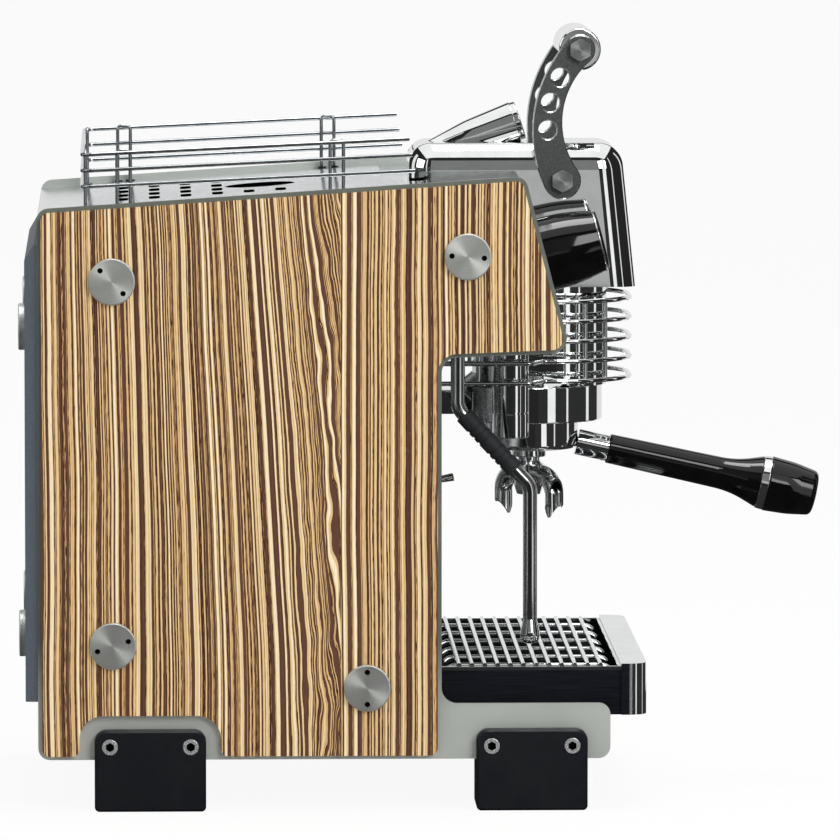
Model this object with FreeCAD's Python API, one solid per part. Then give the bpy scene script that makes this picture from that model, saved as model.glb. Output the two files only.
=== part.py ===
import FreeCAD, Part
import math
import os

V = FreeCAD.Vector

# Driving dimensions in millimetres and degrees: the front looks along -Y, up is +Z, X = 0 is the middle

# Side frames and wood panels, in side view
case_width = 290.0
frame_sheet = 3.0
frame_rear = 241.2
frame_front = -8.8
frame_bottom = 31.6
frame_top_rear = 373.4
top_slope = 3.75
throat_height = 280.8
under_slope = 2.2
nose_reach = -88.9
nose_lean = 14.6
frame_foot_reach = -113.6
frame_foot_top = 66.3
frame_round = 7.5
throat_round = 9.5
wood_thickness = 5.0
wood_inset = 2.6
arch_margin = 9.5
arch_height = 59.5
arch_round = 15.0
arch_flare = 4.5

# Turned cap discs: side view places and how far each pair of pin holes is clocked from upright
cap_radius = 14.5
cap_thickness = 4.0
cap_stud_radius = 4.0
cap_pin_radius = 1.7
cap_pin_offset = 10.0
cap_pin_depth = 3.0
cap_places = [(195.0, 329.0, 45.0), (-24.8, 344.0, 86.0), (194.8, 103.2, 108.0), (37.5, 76.6, 0.0)]
rear_cap_side = 118.0
rear_cap_heights = [108.0, 299.0]

# Feet and their screws
foot_width = 69.0
foot_height = 50.8
foot_depth = 40.0
foot_lip = 8.0
foot_round = 7.5
foot_bevel = 1.5
foot_toe_round = 3.0
foot_centres = [171.8, -64.7]
screw_pitch = 50.0
screw_height = 40.3
screw_radius = 3.0
screw_head_radius = 5.0
screw_head_length = 5.5
screw_socket = 5.0
hole_play = 0.15

# Sheet metal of the case
sheet = 2.0
pan_lift = 2.4
pan_flange = 14.0
fascia_face = -4.0
fascia_set = 2.0
under_set = 8.0
fascia_bend = 3.0
deck_drop = 5.0
cover_depth = 7.7
cover_bottom = 68.0
cover_top = 351.5
cover_bevel = 9.9

# Cup tray and cup rail on the top
cup_tray_width = 232.0
cup_tray_front = 24.0
cup_tray_rear = 212.0
cup_tray_round = 8.0
cup_tray_bearing = 9.0
slot_pitch_across = 38.0
slot_pitch_along = 19.75
slot_length = 27.0
slot_width = 6.8
slot_rows = 4
slot_columns = 6
slot_land = 2.0
first_slot = 188.0
finger_hole_radius = 22.0
finger_hole_place = 101.5
rail_wire = 2.5
rail_levels = 3
rail_rear = 213.0
rail_front = 10.9
rail_front_step = 1.7
rail_lowest = 386.8
rail_pitch = 9.9
rail_slope = 2.7
rail_inset = 2.0
rail_bend = 6.0
post_wire = 2.2
post_gap = 8.2
post_bend = 2.5
post_root = 1.0
post_places = [187.4, 55.8]
rear_post_side = 126.0
collar_radius = 3.2
collar_height = 2.5

# Group hood and pressure gauge
hood_width = 80.0
hood_top = 407.0
hood_bottom = 317.0
hood_rear = 8.0
hood_front = -134.4
hood_lean = 5.8
hood_front_round = 15.0
hood_rear_round = 13.0
hood_edge_round = 9.5
hood_wall = 3.0
gauge_place = -59.8
gauge_tilt = 19.0
gauge_radius = 13.0
gauge_taper = 2.1
gauge_length = 62.0
gauge_wall = 2.0
gauge_recess = 6.0
dial_thickness = 1.0
glass_thickness = 1.0
bezel_reach = 3.5
bezel_step = 0.7
needle_length = 8.5
needle_half_width = 0.8
needle_thickness = 0.6
needle_staff_radius = 0.8
needle_hub_radius = 2.0
needle_hub_height = 1.2
needle_play = 0.3
needle_rest = 45.0

# Lever
pivot_place = (-87.8, 384.4)
grip_place = (-99.0, 466.6)
pivot_end_radius = 11.8
grip_end_radius = 9.5
lever_back_radius = 84.0
lever_front_radius = 51.0
lever_sheet = 5.0
lever_gap = 1.0
lever_chamfer = 0.7
lever_hole_radius = 5.8
lever_hole_heights = [416.3, 433.5, 449.3]
roller_radius = 13.3
shaft_radius = 6.0
shaft_play = 0.3
bolt_flats = 12.6
bolt_head = 4.5
bolt_radius = 4.0
bolt_length = 15.0

# Knobs and valves on the slanted fascia
knob_height = 340.6
knob_base_radius = 23.5
knob_tip_radius = 18.8
knob_length = 39.0
knob_gap = 1.0
knob_bulge = 1.6
knob_base_round = 1.5
knob_tip_round = 2.2
spindle_radius = 4.0
valve_radius = 12.0
valve_neck_radius = 9.0
valve_collar = 10.0
valve_taper = 3.0
valve_length = 42.0
valve_bore_depth = 24.0

# Group, its bell and the guard
group_y = -68.9
bell_radius = 46.2
bell_bottom = 231.0
bell_height = 22.5
bell_shoulder = 7.0
bell_roof = 6.5
lip_height = 5.0
lip_play = 2.4
body_half_width = 36.0
body_front = -117.9
body_top = 345.0
body_play = 0.5
neck_width = 56.0
neck_height = 14.0
neck_lift = 5.0
gasket_height = 5.5
gasket_width = 7.5
screen_radius = 27.5
screen_height = 2.5
screen_screw_radius = 3.5
screen_screw_head = 0.8
guard_wire = 3.0
guard_radius = 63.0
guard_bend = 52.0
guard_hood_gap = 7.8
guard_pitch = 12.45
guard_rings = 5
guard_short_rings = 2
guard_jog_place = -75.0
guard_jog_length = 8.0
guard_jog_bend = 4.0
guard_upright_angles = [45.0, 64.0]
guard_stay_places = [-34.0, -42.0]
weld = 0.4

# Hot water outlet
outlet_radius = 11.5
outlet_offset = 14.0
outlet_gap = 3.9
outlet_bottom = 224.0
outlet_bore = 4.0
outlet_bore_depth = 20.0
outlet_groove = 239.6
outlet_groove_half = 0.6

# Portafilter, handle and twin spout
bowl_radius = 31.0
bowl_wall = 2.0
bowl_bottom = 212.7
bowl_floor = 2.0
bowl_round = 3.0
bowl_taper = 2.0
bowl_drain = 4.0
bowl_hub_drop = 6.0
bowl_hub_wall = 1.5
gusset_half = 2.5
gusset_reach = 4.0
ear_width = 40.0
ear_gap = 8.0
ear_play = 0.5
lock_play = 0.3
lock_turn = 45.0
basket_wall = 0.7
basket_depth = 24.0
basket_rim = 0.8
basket_rim_inset = 0.6
basket_play = 0.4
basket_taper = 2.0
basket_taper_height = 3.0
handle_drop = 12.55
handle_start = (-119.0, 211.5)
neck_radius = 8.2
handle_start_radius = 9.3
handle_waist_radius = 10.2
handle_flare_radius = 16.4
handle_straight = 81.0
handle_flare = 17.7
handle_sweep = 60.0
ring_thickness = 5.1
ring_step = 0.4
ring_flare = 0.5
cap_step = 1.2
cap_belly = 0.9
cap_sweep = 70.0
cap_end_radius = 13.9
cap_length = 31.2
cap_corner = 4.0
hub_radius = 9.5
hub_end_radius = 7.6
hub_neck_radius = 7.1
hub_taper = 6.0
hub_shoulder = 6.0
hub_step = 2.0
hub_height = 24.0
spout_clock = 36.0
spout_reach = 26.0
spout_radius = 6.0
spout_wall = 1.1
spout_bend = 13.0
spout_height = 196.0
spout_tip = 169.0
spout_point = 19.2

# Steam wand
wand_y = -20.5
wand_radius = 4.5
wand_run_y = -65.7
wand_upper_bend = 245.4
wand_lower_bend = 196.6
wand_bend_radius = 11.0
tip_top = 113.0
tip_bottom = 97.8
tip_radius = 6.35
tip_belly = 6.0
tip_belly_round = 8.0
tip_nose_radius = 5.2
tip_nose_round = 3.6
tip_neck = 0.2
grip_radius = 5.8
grip_start = 5.5
grip_end_gap = 14.0
grip_groove = 0.7
grip_groove_width = 1.9
grip_groove_pitch = 4.7
grip_grooves = 3
grip_play = 0.05
ball_radius = 9.0
ball_height = 290.5
ball_play = 0.3
socket_wall = 2.7
socket_mouth = 7.2
socket_drop = 5.0
socket_rise = 16.0
socket_collar = 4.0
socket_collar_height = 3.0
socket_collar_gap = 1.0

# Power switch
toggle_x = 100.0
toggle_height = 180.5
toggle_lift = 10.0
toggle_length = 21.0
toggle_root_radius = 1.9
toggle_end_radius = 2.7
bushing_radius = 6.5
bushing_length = 5.0
bushing_bore = 4.5
bushing_wall = 1.0
switch_body_size = (15.0, 24.0, 28.0)

# Drip tray and cup grid
tray_bottom = 58.0
tray_top = 90.0
tray_front = -136.6
tray_gap = 2.0
tray_sheet = 1.5
tray_corner = 11.0
tray_border = 16.0
tray_skin = 2.0
tray_rear_gap = 2.0
slide_play = 0.3
runner_side = 100.0
grid_wire = 2.8
grid_support_wire = 4.0
grid_pitch = 8.0
grid_support_pitch = 45.0
grid_supports = 6
grid_margin = 2.5
grid_leg_bend = 7.0

# Water tank, boiler, pump and electrics inside the case
tank_width = 216.0
tank_front = 136.0
tank_rear = 222.0
tank_headroom = 19.0
tank_wall = 3.0
tank_round = 10.0
shelf_height = 198.0
shelf_flange = 14.0
shelf_margin = 4.0
boiler_radius = 55.0
boiler_length = 220.0
boiler_wall = 2.5
boiler_y = 80.0
boiler_height = 158.0
stand_side = 60.0
stand_depth = 76.0
stand_sheet = 4.0
flange_radius = 62.0
flange_thickness = 8.0
element_radius = 4.5
element_spread = 24.0
element_length = 140.0
element_terminal = 14.0
pump_radius = 30.0
pump_length = 92.0
pump_head_radius = 20.0
pump_head_length = 46.0
pump_y = 178.0
pump_x = -20.0
pump_height = 80.0
pump_foot = 44.0
pump_foot_inset = 20.0
pump_round = 3.0
control_depth = 28.0
control_length = 100.0
control_height = 90.0
control_y = 20.0
control_gap = 5.0
control_round = 4.0
solenoid_size = 28.0
solenoid_place = (104.0, 200.0)
coil_radius = 15.0
coil_height = 34.0
coil_round = 2.0
stem_radius = 4.0
stem_height = 6.0
pipe_radius = 4.0
pipe_bend = 18.0
inlet_width = 48.0
inlet_height = 28.0
inlet_depth = 22.0
inlet_place = (68.0, 92.0)
inlet_well = 2.0
pin_spread = 7.0
pin_drop = 2.0
earth_pin_rise = 3.0
pin_half_width = 1.0
pin_half_height = 2.0

# Small edge roundings and overlaps that several pieces share
small_round = 0.5
edge_round = 0.8
joint_lap = 0.5

# Places that follow from the sizes above
half_case = case_width / 2
inner_face = half_case - frame_sheet
wood_face = half_case + wood_thickness
hood_half = hood_width / 2
lever_inner = hood_half + lever_gap
lever_outer = lever_inner + lever_sheet
knob_x = (lever_outer + inner_face) / 2
socket_radius = ball_radius + ball_play + socket_wall
pan_floor = frame_bottom + pan_lift + sheet
bell_top = bell_bottom + bell_height
bell_ceiling = bell_top - bell_roof
lip_radius = bowl_radius + lip_play
rim_top = bell_ceiling - gasket_height - lock_play
ear_bottom = bell_bottom + lip_height + lock_play
ear_radius = bell_radius - bell_roof - lip_height / 2
pocket_radius = ear_radius + ear_play
guard_side = knob_x - socket_radius - guard_wire
hood_lever_hole = shaft_radius + shaft_play
needle_bore = needle_staff_radius + needle_play
control_low = boiler_height + flange_radius + control_gap
guard_top = hood_bottom - guard_hood_gap
wand_run = math.hypot(wand_run_y - wand_y, wand_upper_bend - wand_lower_bend)
grip_length = wand_run - grip_start - grip_end_gap


def tan(angle):
    return math.tan(math.radians(angle))


def sin(angle):
    return math.sin(math.radians(angle))


def cos(angle):
    return math.cos(math.radians(angle))


# Building operations

def rounded_wire(corners, closed=True):
    """Straight runs joined by tangent arcs, from (point, arc radius) corners."""
    enters = []
    leaves = []
    arcs = []
    count = len(corners)
    for index, (point, radius) in enumerate(corners):
        end_point = not closed and index in (0, count - 1)
        if radius == 0 or end_point:
            enters.append(point)
            leaves.append(point)
            arcs.append(None)
            continue
        before = (corners[index - 1][0] - point).normalize()
        after = (corners[(index + 1) % count][0] - point).normalize()
        half = before.getAngle(after) / 2
        reach = radius / math.tan(half)
        middle = point + (before + after).normalize() * (radius / math.sin(half) - radius)
        enters.append(point + before * reach)
        leaves.append(point + after * reach)
        arcs.append(Part.Arc(enters[-1], middle, leaves[-1]).toShape())
    edges = []
    for index in range(count):
        if arcs[index]:
            edges.append(arcs[index])
        following = (index + 1) % count
        run_exists = (leaves[index] - enters[following]).Length > 1e-6
        if run_exists and (closed or following):
            edges.append(Part.LineSegment(leaves[index], enters[following]).toShape())
    return Part.Wire(edges)


def side_face(outline, x=0.0):
    """Flat face in the side view from (y, z, corner radius) points."""
    return Part.Face(rounded_wire([(V(x, y, z), radius) for y, z, radius in outline]))


def slab(outline, x_low, x_high):
    """Side view outline pushed along X."""
    return side_face(outline, x_low).extrude(V(x_high - x_low, 0, 0))


def plan(outline, z_low, z_high):
    """Top view outline of (x, y, corner radius) points pushed along Z."""
    wire = rounded_wire([(V(x, y, z_low), radius) for x, y, radius in outline])
    return Part.Face(wire).extrude(V(0, 0, z_high - z_low))


def block(x_low, x_high, y_low, y_high, z_low, z_high):
    return Part.makeBox(x_high - x_low, y_high - y_low, z_high - z_low, V(x_low, y_low, z_low))


def rod(radius, start, end):
    return Part.makeCylinder(radius, (end - start).Length, start, end - start)


def aimed(shape, base, axis):
    """Stand a shape that was built along +Z on a point, along an axis."""
    shape.Placement = FreeCAD.Placement(base, FreeCAD.Rotation(V(0, 0, 1), axis))
    return shape


def turned(profile, base=V(0, 0, 0), axis=V(0, 0, 1)):
    """Lathe piece from (radius, height, corner radius) points."""
    face = Part.Face(rounded_wire([(V(radius, 0, height), corner) for radius, height, corner in profile]))
    return aimed(face.revolve(V(0, 0, 0), V(0, 0, 1), 360), base, axis)


def bent_rod(corners, radius):
    """Round wire or tube along straight runs and tangent arcs."""
    start = corners[0][0]
    ring = Part.Wire(Part.makeCircle(radius, start, corners[1][0] - start))
    return rounded_wire(corners, closed=False).makePipeShell([ring], True, False)


def hexagon(flats, base, axis, length):
    """Six-sided bar from its width across flats."""
    points = [V(flats / 2 / cos(30) * cos(60 * i), flats / 2 / cos(30) * sin(60 * i), 0) for i in range(6)]
    bar = Part.Face(Part.makePolygon(points + points[:1])).extrude(V(0, 0, length))
    return aimed(bar, base, axis)


def mirrored(shape):
    return shape.mirror(V(0, 0, 0), V(1, 0, 0))


def joined(shapes):
    return shapes[0].multiFuse(shapes[1:]).removeSplitter()


# Lines of the side view that many pieces share

def crossing(point_a, angle_a, point_b, angle_b):
    """Where two side view lines cross; angles run from +Y towards +Z."""
    across = cos(angle_a) * sin(angle_b) - sin(angle_a) * cos(angle_b)
    offset_y = point_b[0] - point_a[0]
    offset_z = point_b[1] - point_a[1]
    along = (offset_y * sin(angle_b) - offset_z * cos(angle_b)) / across
    return point_a[0] + along * cos(angle_a), point_a[1] + along * sin(angle_a)


def top_at(y, drop=0.0):
    """Height of the sloping top edge of the side frames, less a drop square to it."""
    return frame_top_rear + (frame_rear - y) * tan(top_slope) - drop / cos(top_slope)


def under_at(y, rise=0.0):
    """Height of the overhang's lower edge, plus a rise square to it."""
    return throat_height + (frame_front - y) * tan(under_slope) + rise / cos(under_slope)


def nose_at(z, inset=0.0):
    """Depth of the slanted front edge at a height, set back by an inset square to it."""
    return nose_reach + (z - under_at(nose_reach)) * tan(nose_lean) + inset / cos(nose_lean)


def nose_corner(inset, rise):
    return crossing((nose_at(0, inset), 0), 90 - nose_lean, (0, under_at(0, rise)), 180 - under_slope)


def crown_corner(inset, drop):
    return crossing((nose_at(0, inset), 0), 90 - nose_lean, (0, top_at(0, drop)), 180 - top_slope)


nose_normal = V(0, -cos(nose_lean), sin(nose_lean))


# Side frames, wood panels and their cap discs

def upper_outline():
    nose = nose_corner(0, 0)
    crown = crown_corner(0, 0)
    return [
        (frame_front, under_at(frame_front), throat_round),
        (nose[0], nose[1], throat_round),
        (crown[0], crown[1], frame_round),
        (frame_rear, frame_top_rear, frame_round),
        (frame_rear, frame_bottom, frame_round),
    ]


def stud_holes(x_low, x_high):
    return [rod(cap_stud_radius + hole_play, V(x_low, y, z), V(x_high, y, z)) for y, z, clock in cap_places]


def screw_places():
    return [(centre + side * screw_pitch / 2, screw_height) for centre in foot_centres for side in (-1, 1)]


def side_frame():
    outline = upper_outline() + [
        (frame_foot_reach, frame_bottom, frame_round),
        (frame_foot_reach, frame_foot_top, frame_round),
        (frame_front, frame_foot_top, throat_round),
    ]
    plate = slab(outline, -half_case, -inner_face)
    holes = stud_holes(-half_case, -inner_face)
    for y, z in screw_places():
        holes.append(rod(screw_radius + hole_play, V(-half_case, y, z), V(-inner_face, y, z)))
    return plate.cut(holes)


def wood_panel():
    face = side_face(upper_outline() + [(frame_front, frame_bottom, frame_round)], -half_case)
    panel = face.makeOffset2D(-wood_inset).extrude(V(-wood_thickness, 0, 0))
    low = frame_bottom + wood_inset
    half_arch = foot_width / 2 + arch_margin
    centre = foot_centres[0]
    arch = slab([
        (centre + half_arch, low - arch_round, 0),
        (centre + half_arch, arch_height, arch_round),
        (centre - half_arch, arch_height, arch_round),
        (centre - half_arch, low - arch_round, 0),
    ], -wood_face, -half_case)
    panel = panel.cut([arch] + stud_holes(-wood_face, -half_case))
    mouths = []
    for edge in panel.Edges:
        middle = edge.CenterOfMass
        at_mouth = abs(abs(middle.y - centre) - half_arch) < 0.01 and abs(middle.z - low) < 0.01
        if at_mouth:
            mouths.append(edge)
    return panel.makeFillet(arch_flare, mouths)


def cap_disc(base, axis, clock, stud_length):
    """Turned disc with two pin holes for a face spanner and a stud behind it."""
    disc = turned([
        (0, -stud_length, 0), (cap_stud_radius, -stud_length, small_round), (cap_stud_radius, 0, 0),
        (cap_radius, 0, 0), (cap_radius, cap_thickness, edge_round), (0, cap_thickness, 0),
    ])
    for side in (-1, 1):
        place = V(side * cap_pin_offset * cos(clock), side * cap_pin_offset * sin(clock), cap_thickness)
        disc = disc.cut(rod(cap_pin_radius, place - V(0, 0, cap_pin_depth), place))
    return aimed(disc, base, axis)


def cap_discs():
    discs = []
    for y, z, clock in cap_places:
        disc = cap_disc(V(-wood_face, y, z), V(-1, 0, 0), clock, wood_thickness + frame_sheet)
        discs += [disc, mirrored(disc)]
    for z in rear_cap_heights:
        for x in (-rear_cap_side, rear_cap_side):
            discs.append(cap_disc(V(x, frame_rear + cover_depth, z), V(0, 1, 0), 90, cover_depth))
    return Part.makeCompound(discs)


# Feet: blocks under the frames with a lip screwed to the outside

def foot(centre):
    half = foot_width / 2
    outer = -half_case - foot_lip
    body = slab([
        (centre - half, 0, foot_toe_round), (centre + half, 0, foot_toe_round),
        (centre + half, foot_height, foot_round), (centre - half, foot_height, foot_round),
    ], outer, outer + foot_depth)
    rim = [edge for edge in body.Edges if abs(edge.BoundBox.XMax - outer) < 0.01]
    body = body.makeChamfer(foot_bevel, rim)
    seat = block(-half_case, 0, centre - foot_width, centre + foot_width, frame_bottom, 2 * foot_height)
    body = body.cut(seat)
    for side in (-1, 1):
        place = V(outer, centre + side * screw_pitch / 2, screw_height)
        depth = V(screw_head_length + hole_play, 0, 0)
        body = body.cut(rod(screw_head_radius + 2 * hole_play, place, place + depth))
        body = body.cut(rod(screw_radius + hole_play, place, place + V(foot_lip, 0, 0)))
    return body


def feet():
    near = [foot(centre) for centre in foot_centres]
    return Part.makeCompound(near + [mirrored(block_foot) for block_foot in near])


def foot_screw(y, z):
    head_face = -half_case - foot_lip + hole_play
    screw = turned([
        (0, 0, 0), (screw_head_radius, 0, small_round), (screw_head_radius, screw_head_length, 0),
        (screw_radius, screw_head_length, 0), (screw_radius, screw_head_length + foot_lip, 0),
        (0, screw_head_length + foot_lip, 0),
    ], V(head_face, y, z), V(1, 0, 0))
    socket = hexagon(screw_socket, V(head_face, y, z), V(1, 0, 0), screw_head_length / 2)
    return screw.cut([socket, block(-inner_face, 0, y - foot_width, y + foot_width, 0, foot_height)])


def foot_screws():
    near = [foot_screw(y, z) for y, z in screw_places()]
    return Part.makeCompound(near + [mirrored(screw) for screw in near])


# Sheet metal: base pan, fascias, deck and rear cover

def base_pan():
    rear = frame_rear - sheet
    front = frame_foot_reach + frame_round
    floor = block(-inner_face, inner_face, front, rear, pan_floor - sheet, pan_floor)
    pieces = [floor]
    for side in (-1, 1):
        web = side * runner_side
        runner_top = tray_bottom - slide_play
        pieces.append(block(web - sheet, web + sheet, front, fascia_face, pan_floor, runner_top))
        wall = side * (inner_face - sheet / 2)
        flange_top = pan_floor + pan_flange
        pieces.append(block(wall - sheet / 2, wall + sheet / 2, front, rear, pan_floor, flange_top))
    return joined(pieces)


def front_fascia():
    top = under_at(fascia_face, under_set + sheet)
    panel = block(-inner_face, inner_face, fascia_face, fascia_face + sheet, pan_floor, top)
    flange_room = block(-inner_face, inner_face, fascia_face, fascia_face + sheet, 0, pan_floor + pan_flange)
    middle = block(sheet - inner_face, inner_face - sheet, fascia_face, fascia_face + sheet, 0, top)
    panel = panel.cut(flange_room.cut(middle))
    hole = V(toggle_x, fascia_face, toggle_height)
    return panel.cut(rod(bushing_bore + hole_play, hole, hole + V(0, sheet, 0)))


def body_outline(play):
    """Top view of the group body: round front and back with flat sides."""
    half = body_half_width + play
    front = body_front - play
    rear = group_y + half
    nearly = half - 0.01
    return [(-half, front, nearly), (half, front, nearly), (half, rear, nearly), (-half, rear, nearly)]


def knob_point(offset=0.0):
    """Where the knob axis leaves the slanted fascia, and places along that axis."""
    return V(knob_x, nose_at(knob_height, fascia_set), knob_height) + nose_normal * offset


def upper_fascia():
    outer = nose_corner(fascia_set, under_set)
    inner = nose_corner(fascia_set + sheet, under_set + sheet)
    outer_top = crown_corner(fascia_set, deck_drop + sheet)
    inner_top = crown_corner(fascia_set + sheet, deck_drop + sheet)
    panel = slab([
        (fascia_face, under_at(fascia_face, under_set), 0), (outer[0], outer[1], fascia_bend),
        (outer_top[0], outer_top[1], 0), (inner_top[0], inner_top[1], 0),
        (inner[0], inner[1], fascia_bend - sheet / 2),
        (fascia_face, under_at(fascia_face, under_set + sheet), 0),
    ], -inner_face, inner_face)
    holes = [plan(body_outline(body_play), bell_top, body_top + body_play)]
    for side in (-1, 1):
        start = knob_point(-2 * sheet)
        finish = knob_point(sheet)
        start.x *= side
        finish.x *= side
        holes.append(rod(spindle_radius + 2 * hole_play, start, finish))
    socket_low = V(-knob_x, wand_y, bell_top)
    holes.append(rod(socket_radius + hole_play, socket_low, V(-knob_x, wand_y, hood_bottom)))
    return panel.cut(holes)


def top_deck():
    front = crown_corner(fascia_set, deck_drop)
    front_low = crown_corner(fascia_set, deck_drop + sheet)
    rear = frame_rear - sheet
    deck = slab([
        (front[0], front[1], 0), (frame_rear, top_at(frame_rear, deck_drop), sheet),
        (frame_rear, cover_top - cover_bevel, 0), (rear, cover_top - cover_bevel, 0),
        (rear, top_at(rear, deck_drop + sheet), 0), (front_low[0], front_low[1], 0),
    ], -inner_face, inner_face)
    half = cup_tray_width / 2 - cup_tray_bearing
    opening = plan([
        (-half, cup_tray_front + cup_tray_bearing, cup_tray_round),
        (half, cup_tray_front + cup_tray_bearing, cup_tray_round),
        (half, cup_tray_rear - cup_tray_bearing, cup_tray_round),
        (-half, cup_tray_rear - cup_tray_bearing, cup_tray_round),
    ], cover_top, hood_top)
    return deck.cut(opening)


def rear_cover():
    back = frame_rear + cover_depth
    cover = slab([
        (frame_rear, cover_bottom, 0), (back, cover_bottom, edge_round),
        (back, cover_top - cover_bevel, sheet), (frame_rear + sheet, cover_top, small_round),
        (frame_rear, cover_top, 0),
    ], hole_play - half_case, half_case - hole_play)
    cuts = []
    for x in (-rear_cap_side, rear_cap_side):
        for z in rear_cap_heights:
            cuts.append(rod(cap_stud_radius + hole_play, V(x, frame_rear, z), V(x, back, z)))
    x, z = inlet_place
    reach = V(inlet_width / 2 + hole_play, 0, inlet_height / 2 + hole_play)
    cuts.append(block(x - reach.x, x + reach.x, frame_rear, back, z - reach.z, z + reach.z))
    return cover.cut(cuts)


# Cup tray and cup rail

def cup_tray():
    low = deck_drop
    tray = slab([
        (cup_tray_front, top_at(cup_tray_front, low), 0), (cup_tray_rear, top_at(cup_tray_rear, low), 0),
        (cup_tray_rear, top_at(cup_tray_rear, low - sheet), 0),
        (cup_tray_front, top_at(cup_tray_front, low - sheet), 0),
    ], -cup_tray_width / 2, cup_tray_width / 2)
    upright = []
    for edge in tray.Edges:
        if edge.BoundBox.ZLength > sheet / 2 and edge.BoundBox.YLength < 0.1:
            upright.append(edge)
    tray = tray.makeFillet(cup_tray_round, upright)
    finger_low = V(0, finger_hole_place, cover_top)
    finger_hole = rod(finger_hole_radius, finger_low, V(0, finger_hole_place, hood_top))
    cuts = [finger_hole]
    for column in range(slot_columns):
        for row in range(slot_rows):
            x = (row - (slot_rows - 1) / 2) * slot_pitch_across
            y = first_slot - column * slot_pitch_along
            cutter = slot(x, y)
            if cutter.distToShape(finger_hole)[0] > slot_land:
                cuts.append(cutter)
    return tray.cut(cuts)


def slot(x, y):
    """Round-ended cutter for a slot that lies across the machine."""
    half_length = slot_length / 2
    half_width = slot_width / 2
    corner = half_width - 0.01
    return plan([
        (x - half_length, y - half_width, corner), (x + half_length, y - half_width, corner),
        (x + half_length, y + half_width, corner), (x - half_length, y + half_width, corner),
    ], cover_top, hood_top)


def rail_height(level, y):
    """Height of a rail wire, counted from the lowest."""
    return rail_lowest + level * rail_pitch + (rail_rear - y) * tan(rail_slope)


def post_pair(x, y, along, top):
    """Two posts bent from one wire up to the top wire of the rail, with a collar round each foot."""
    ends = [V(x, y, 0) - along * (post_gap / 2), V(x, y, 0) + along * (post_gap / 2)]
    feet_low = [V(end.x, end.y, top_at(end.y, deck_drop) - post_root) for end in ends]
    heads = [V(end.x, end.y, top) for end in ends]
    pieces = [bent_rod([
        (feet_low[0], 0), (heads[0], post_bend), (heads[1], post_bend), (feet_low[1], 0),
    ], post_wire / 2)]
    for low in feet_low:
        pieces.append(rod(collar_radius, low, low + V(0, 0, post_root + collar_height)))
    return pieces


def cup_rail():
    side = inner_face - rail_inset - rail_wire / 2
    top_level = rail_levels - 1
    pieces = []
    for level in range(rail_levels):
        front = rail_front - (top_level - level) * rail_front_step
        front_height = rail_height(level, front)
        rear_height = rail_height(level, rail_rear)
        pieces.append(bent_rod([
            (V(-side, front, front_height), 0), (V(-side, rail_rear, rear_height), rail_bend),
            (V(side, rail_rear, rear_height), rail_bend), (V(side, front, front_height), 0),
        ], rail_wire / 2))
    inset = (rail_wire + post_wire) / 2 - weld
    for mirror_side in (-1, 1):
        for place in post_places:
            top = rail_height(top_level, place) + rail_wire / 2
            pieces += post_pair(mirror_side * (side - inset), place, V(0, 1, 0), top)
        top = rail_height(top_level, rail_rear) + rail_wire / 2
        pieces += post_pair(mirror_side * rear_post_side, rail_rear - inset, V(1, 0, 0), top)
    deck_room = slab([
        (frame_front, top_at(frame_front, deck_drop), 0), (frame_rear, top_at(frame_rear, deck_drop), 0),
        (frame_rear, cover_bottom, 0), (frame_front, cover_bottom, 0),
    ], -half_case, half_case)
    return joined(pieces).cut(deck_room)


# Group hood and pressure gauge

def hood_block(inset, beyond):
    """Hood outline; the inset draws in the visible sides, beyond pushes out the hidden ones."""
    crown = crown_corner(fascia_set + beyond, deck_drop + beyond)
    low = hood_bottom - beyond
    front = hood_front + inset / cos(hood_lean)
    top = hood_top - inset
    front_low = front + (low - hood_bottom) * tan(hood_lean)
    front_top = front + (top - hood_bottom) * tan(hood_lean)
    rear = hood_rear - inset
    hidden = [(rear, top_at(rear, deck_drop + beyond)), crown, (nose_at(low, fascia_set + beyond), low)]
    hidden.append((front_low, low))
    half = hood_half - inset
    body = slab([(y, z, 0) for y, z in hidden] + [
        (front_top, top, hood_front_round - inset), (rear, top, hood_rear_round - inset),
    ], -half, half)
    hidden_line = Part.makePolygon([V(0, y, z) for y, z in hidden])
    edges = []
    for edge in body.Edges:
        middle = edge.valueAt((edge.FirstParameter + edge.LastParameter) / 2)
        on_side = abs(edge.BoundBox.XLength) < 0.01
        if on_side and Part.Vertex(0, middle.y, middle.z).distToShape(hidden_line)[0] > 0.1:
            edges.append(edge)
    return body.makeFillet(hood_edge_round - inset, edges)


def group_hood():
    shell = hood_block(0, 0).cut(hood_block(hood_wall, hood_wall))
    y, z = pivot_place
    return shell.cut(rod(hood_lever_hole, V(-hood_half, y, z), V(hood_half, y, z)))


gauge_axis = V(0, -cos(gauge_tilt), sin(gauge_tilt))
gauge_centre = V(0, gauge_place, hood_top + gauge_radius * cos(gauge_tilt))


def gauge_housing():
    recess = gauge_radius - gauge_wall
    waist = gauge_radius - gauge_taper
    bullet = turned([
        (0, -gauge_length, 0), (waist / 2, -gauge_length, waist / 4),
        (waist, -gauge_length / 2, gauge_length), (gauge_radius, 0, small_round),
        (recess, 0, 0), (recess, -gauge_recess, 0), (needle_bore, -gauge_recess, 0),
        (needle_bore, -2 * gauge_recess, 0), (0, -2 * gauge_recess, 0),
    ], gauge_centre, gauge_axis)
    reach = 2 * gauge_length
    return bullet.cut(block(-reach, reach, gauge_place - reach, gauge_place + reach, 0, hood_top))


def gauge_dial():
    radius = gauge_radius - gauge_wall - hole_play
    back = -gauge_recess
    face = back + dial_thickness
    return turned([
        (needle_bore, back, 0), (radius, back, 0), (radius, face, 0), (needle_bore, face, 0),
    ], gauge_centre, gauge_axis)


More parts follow.
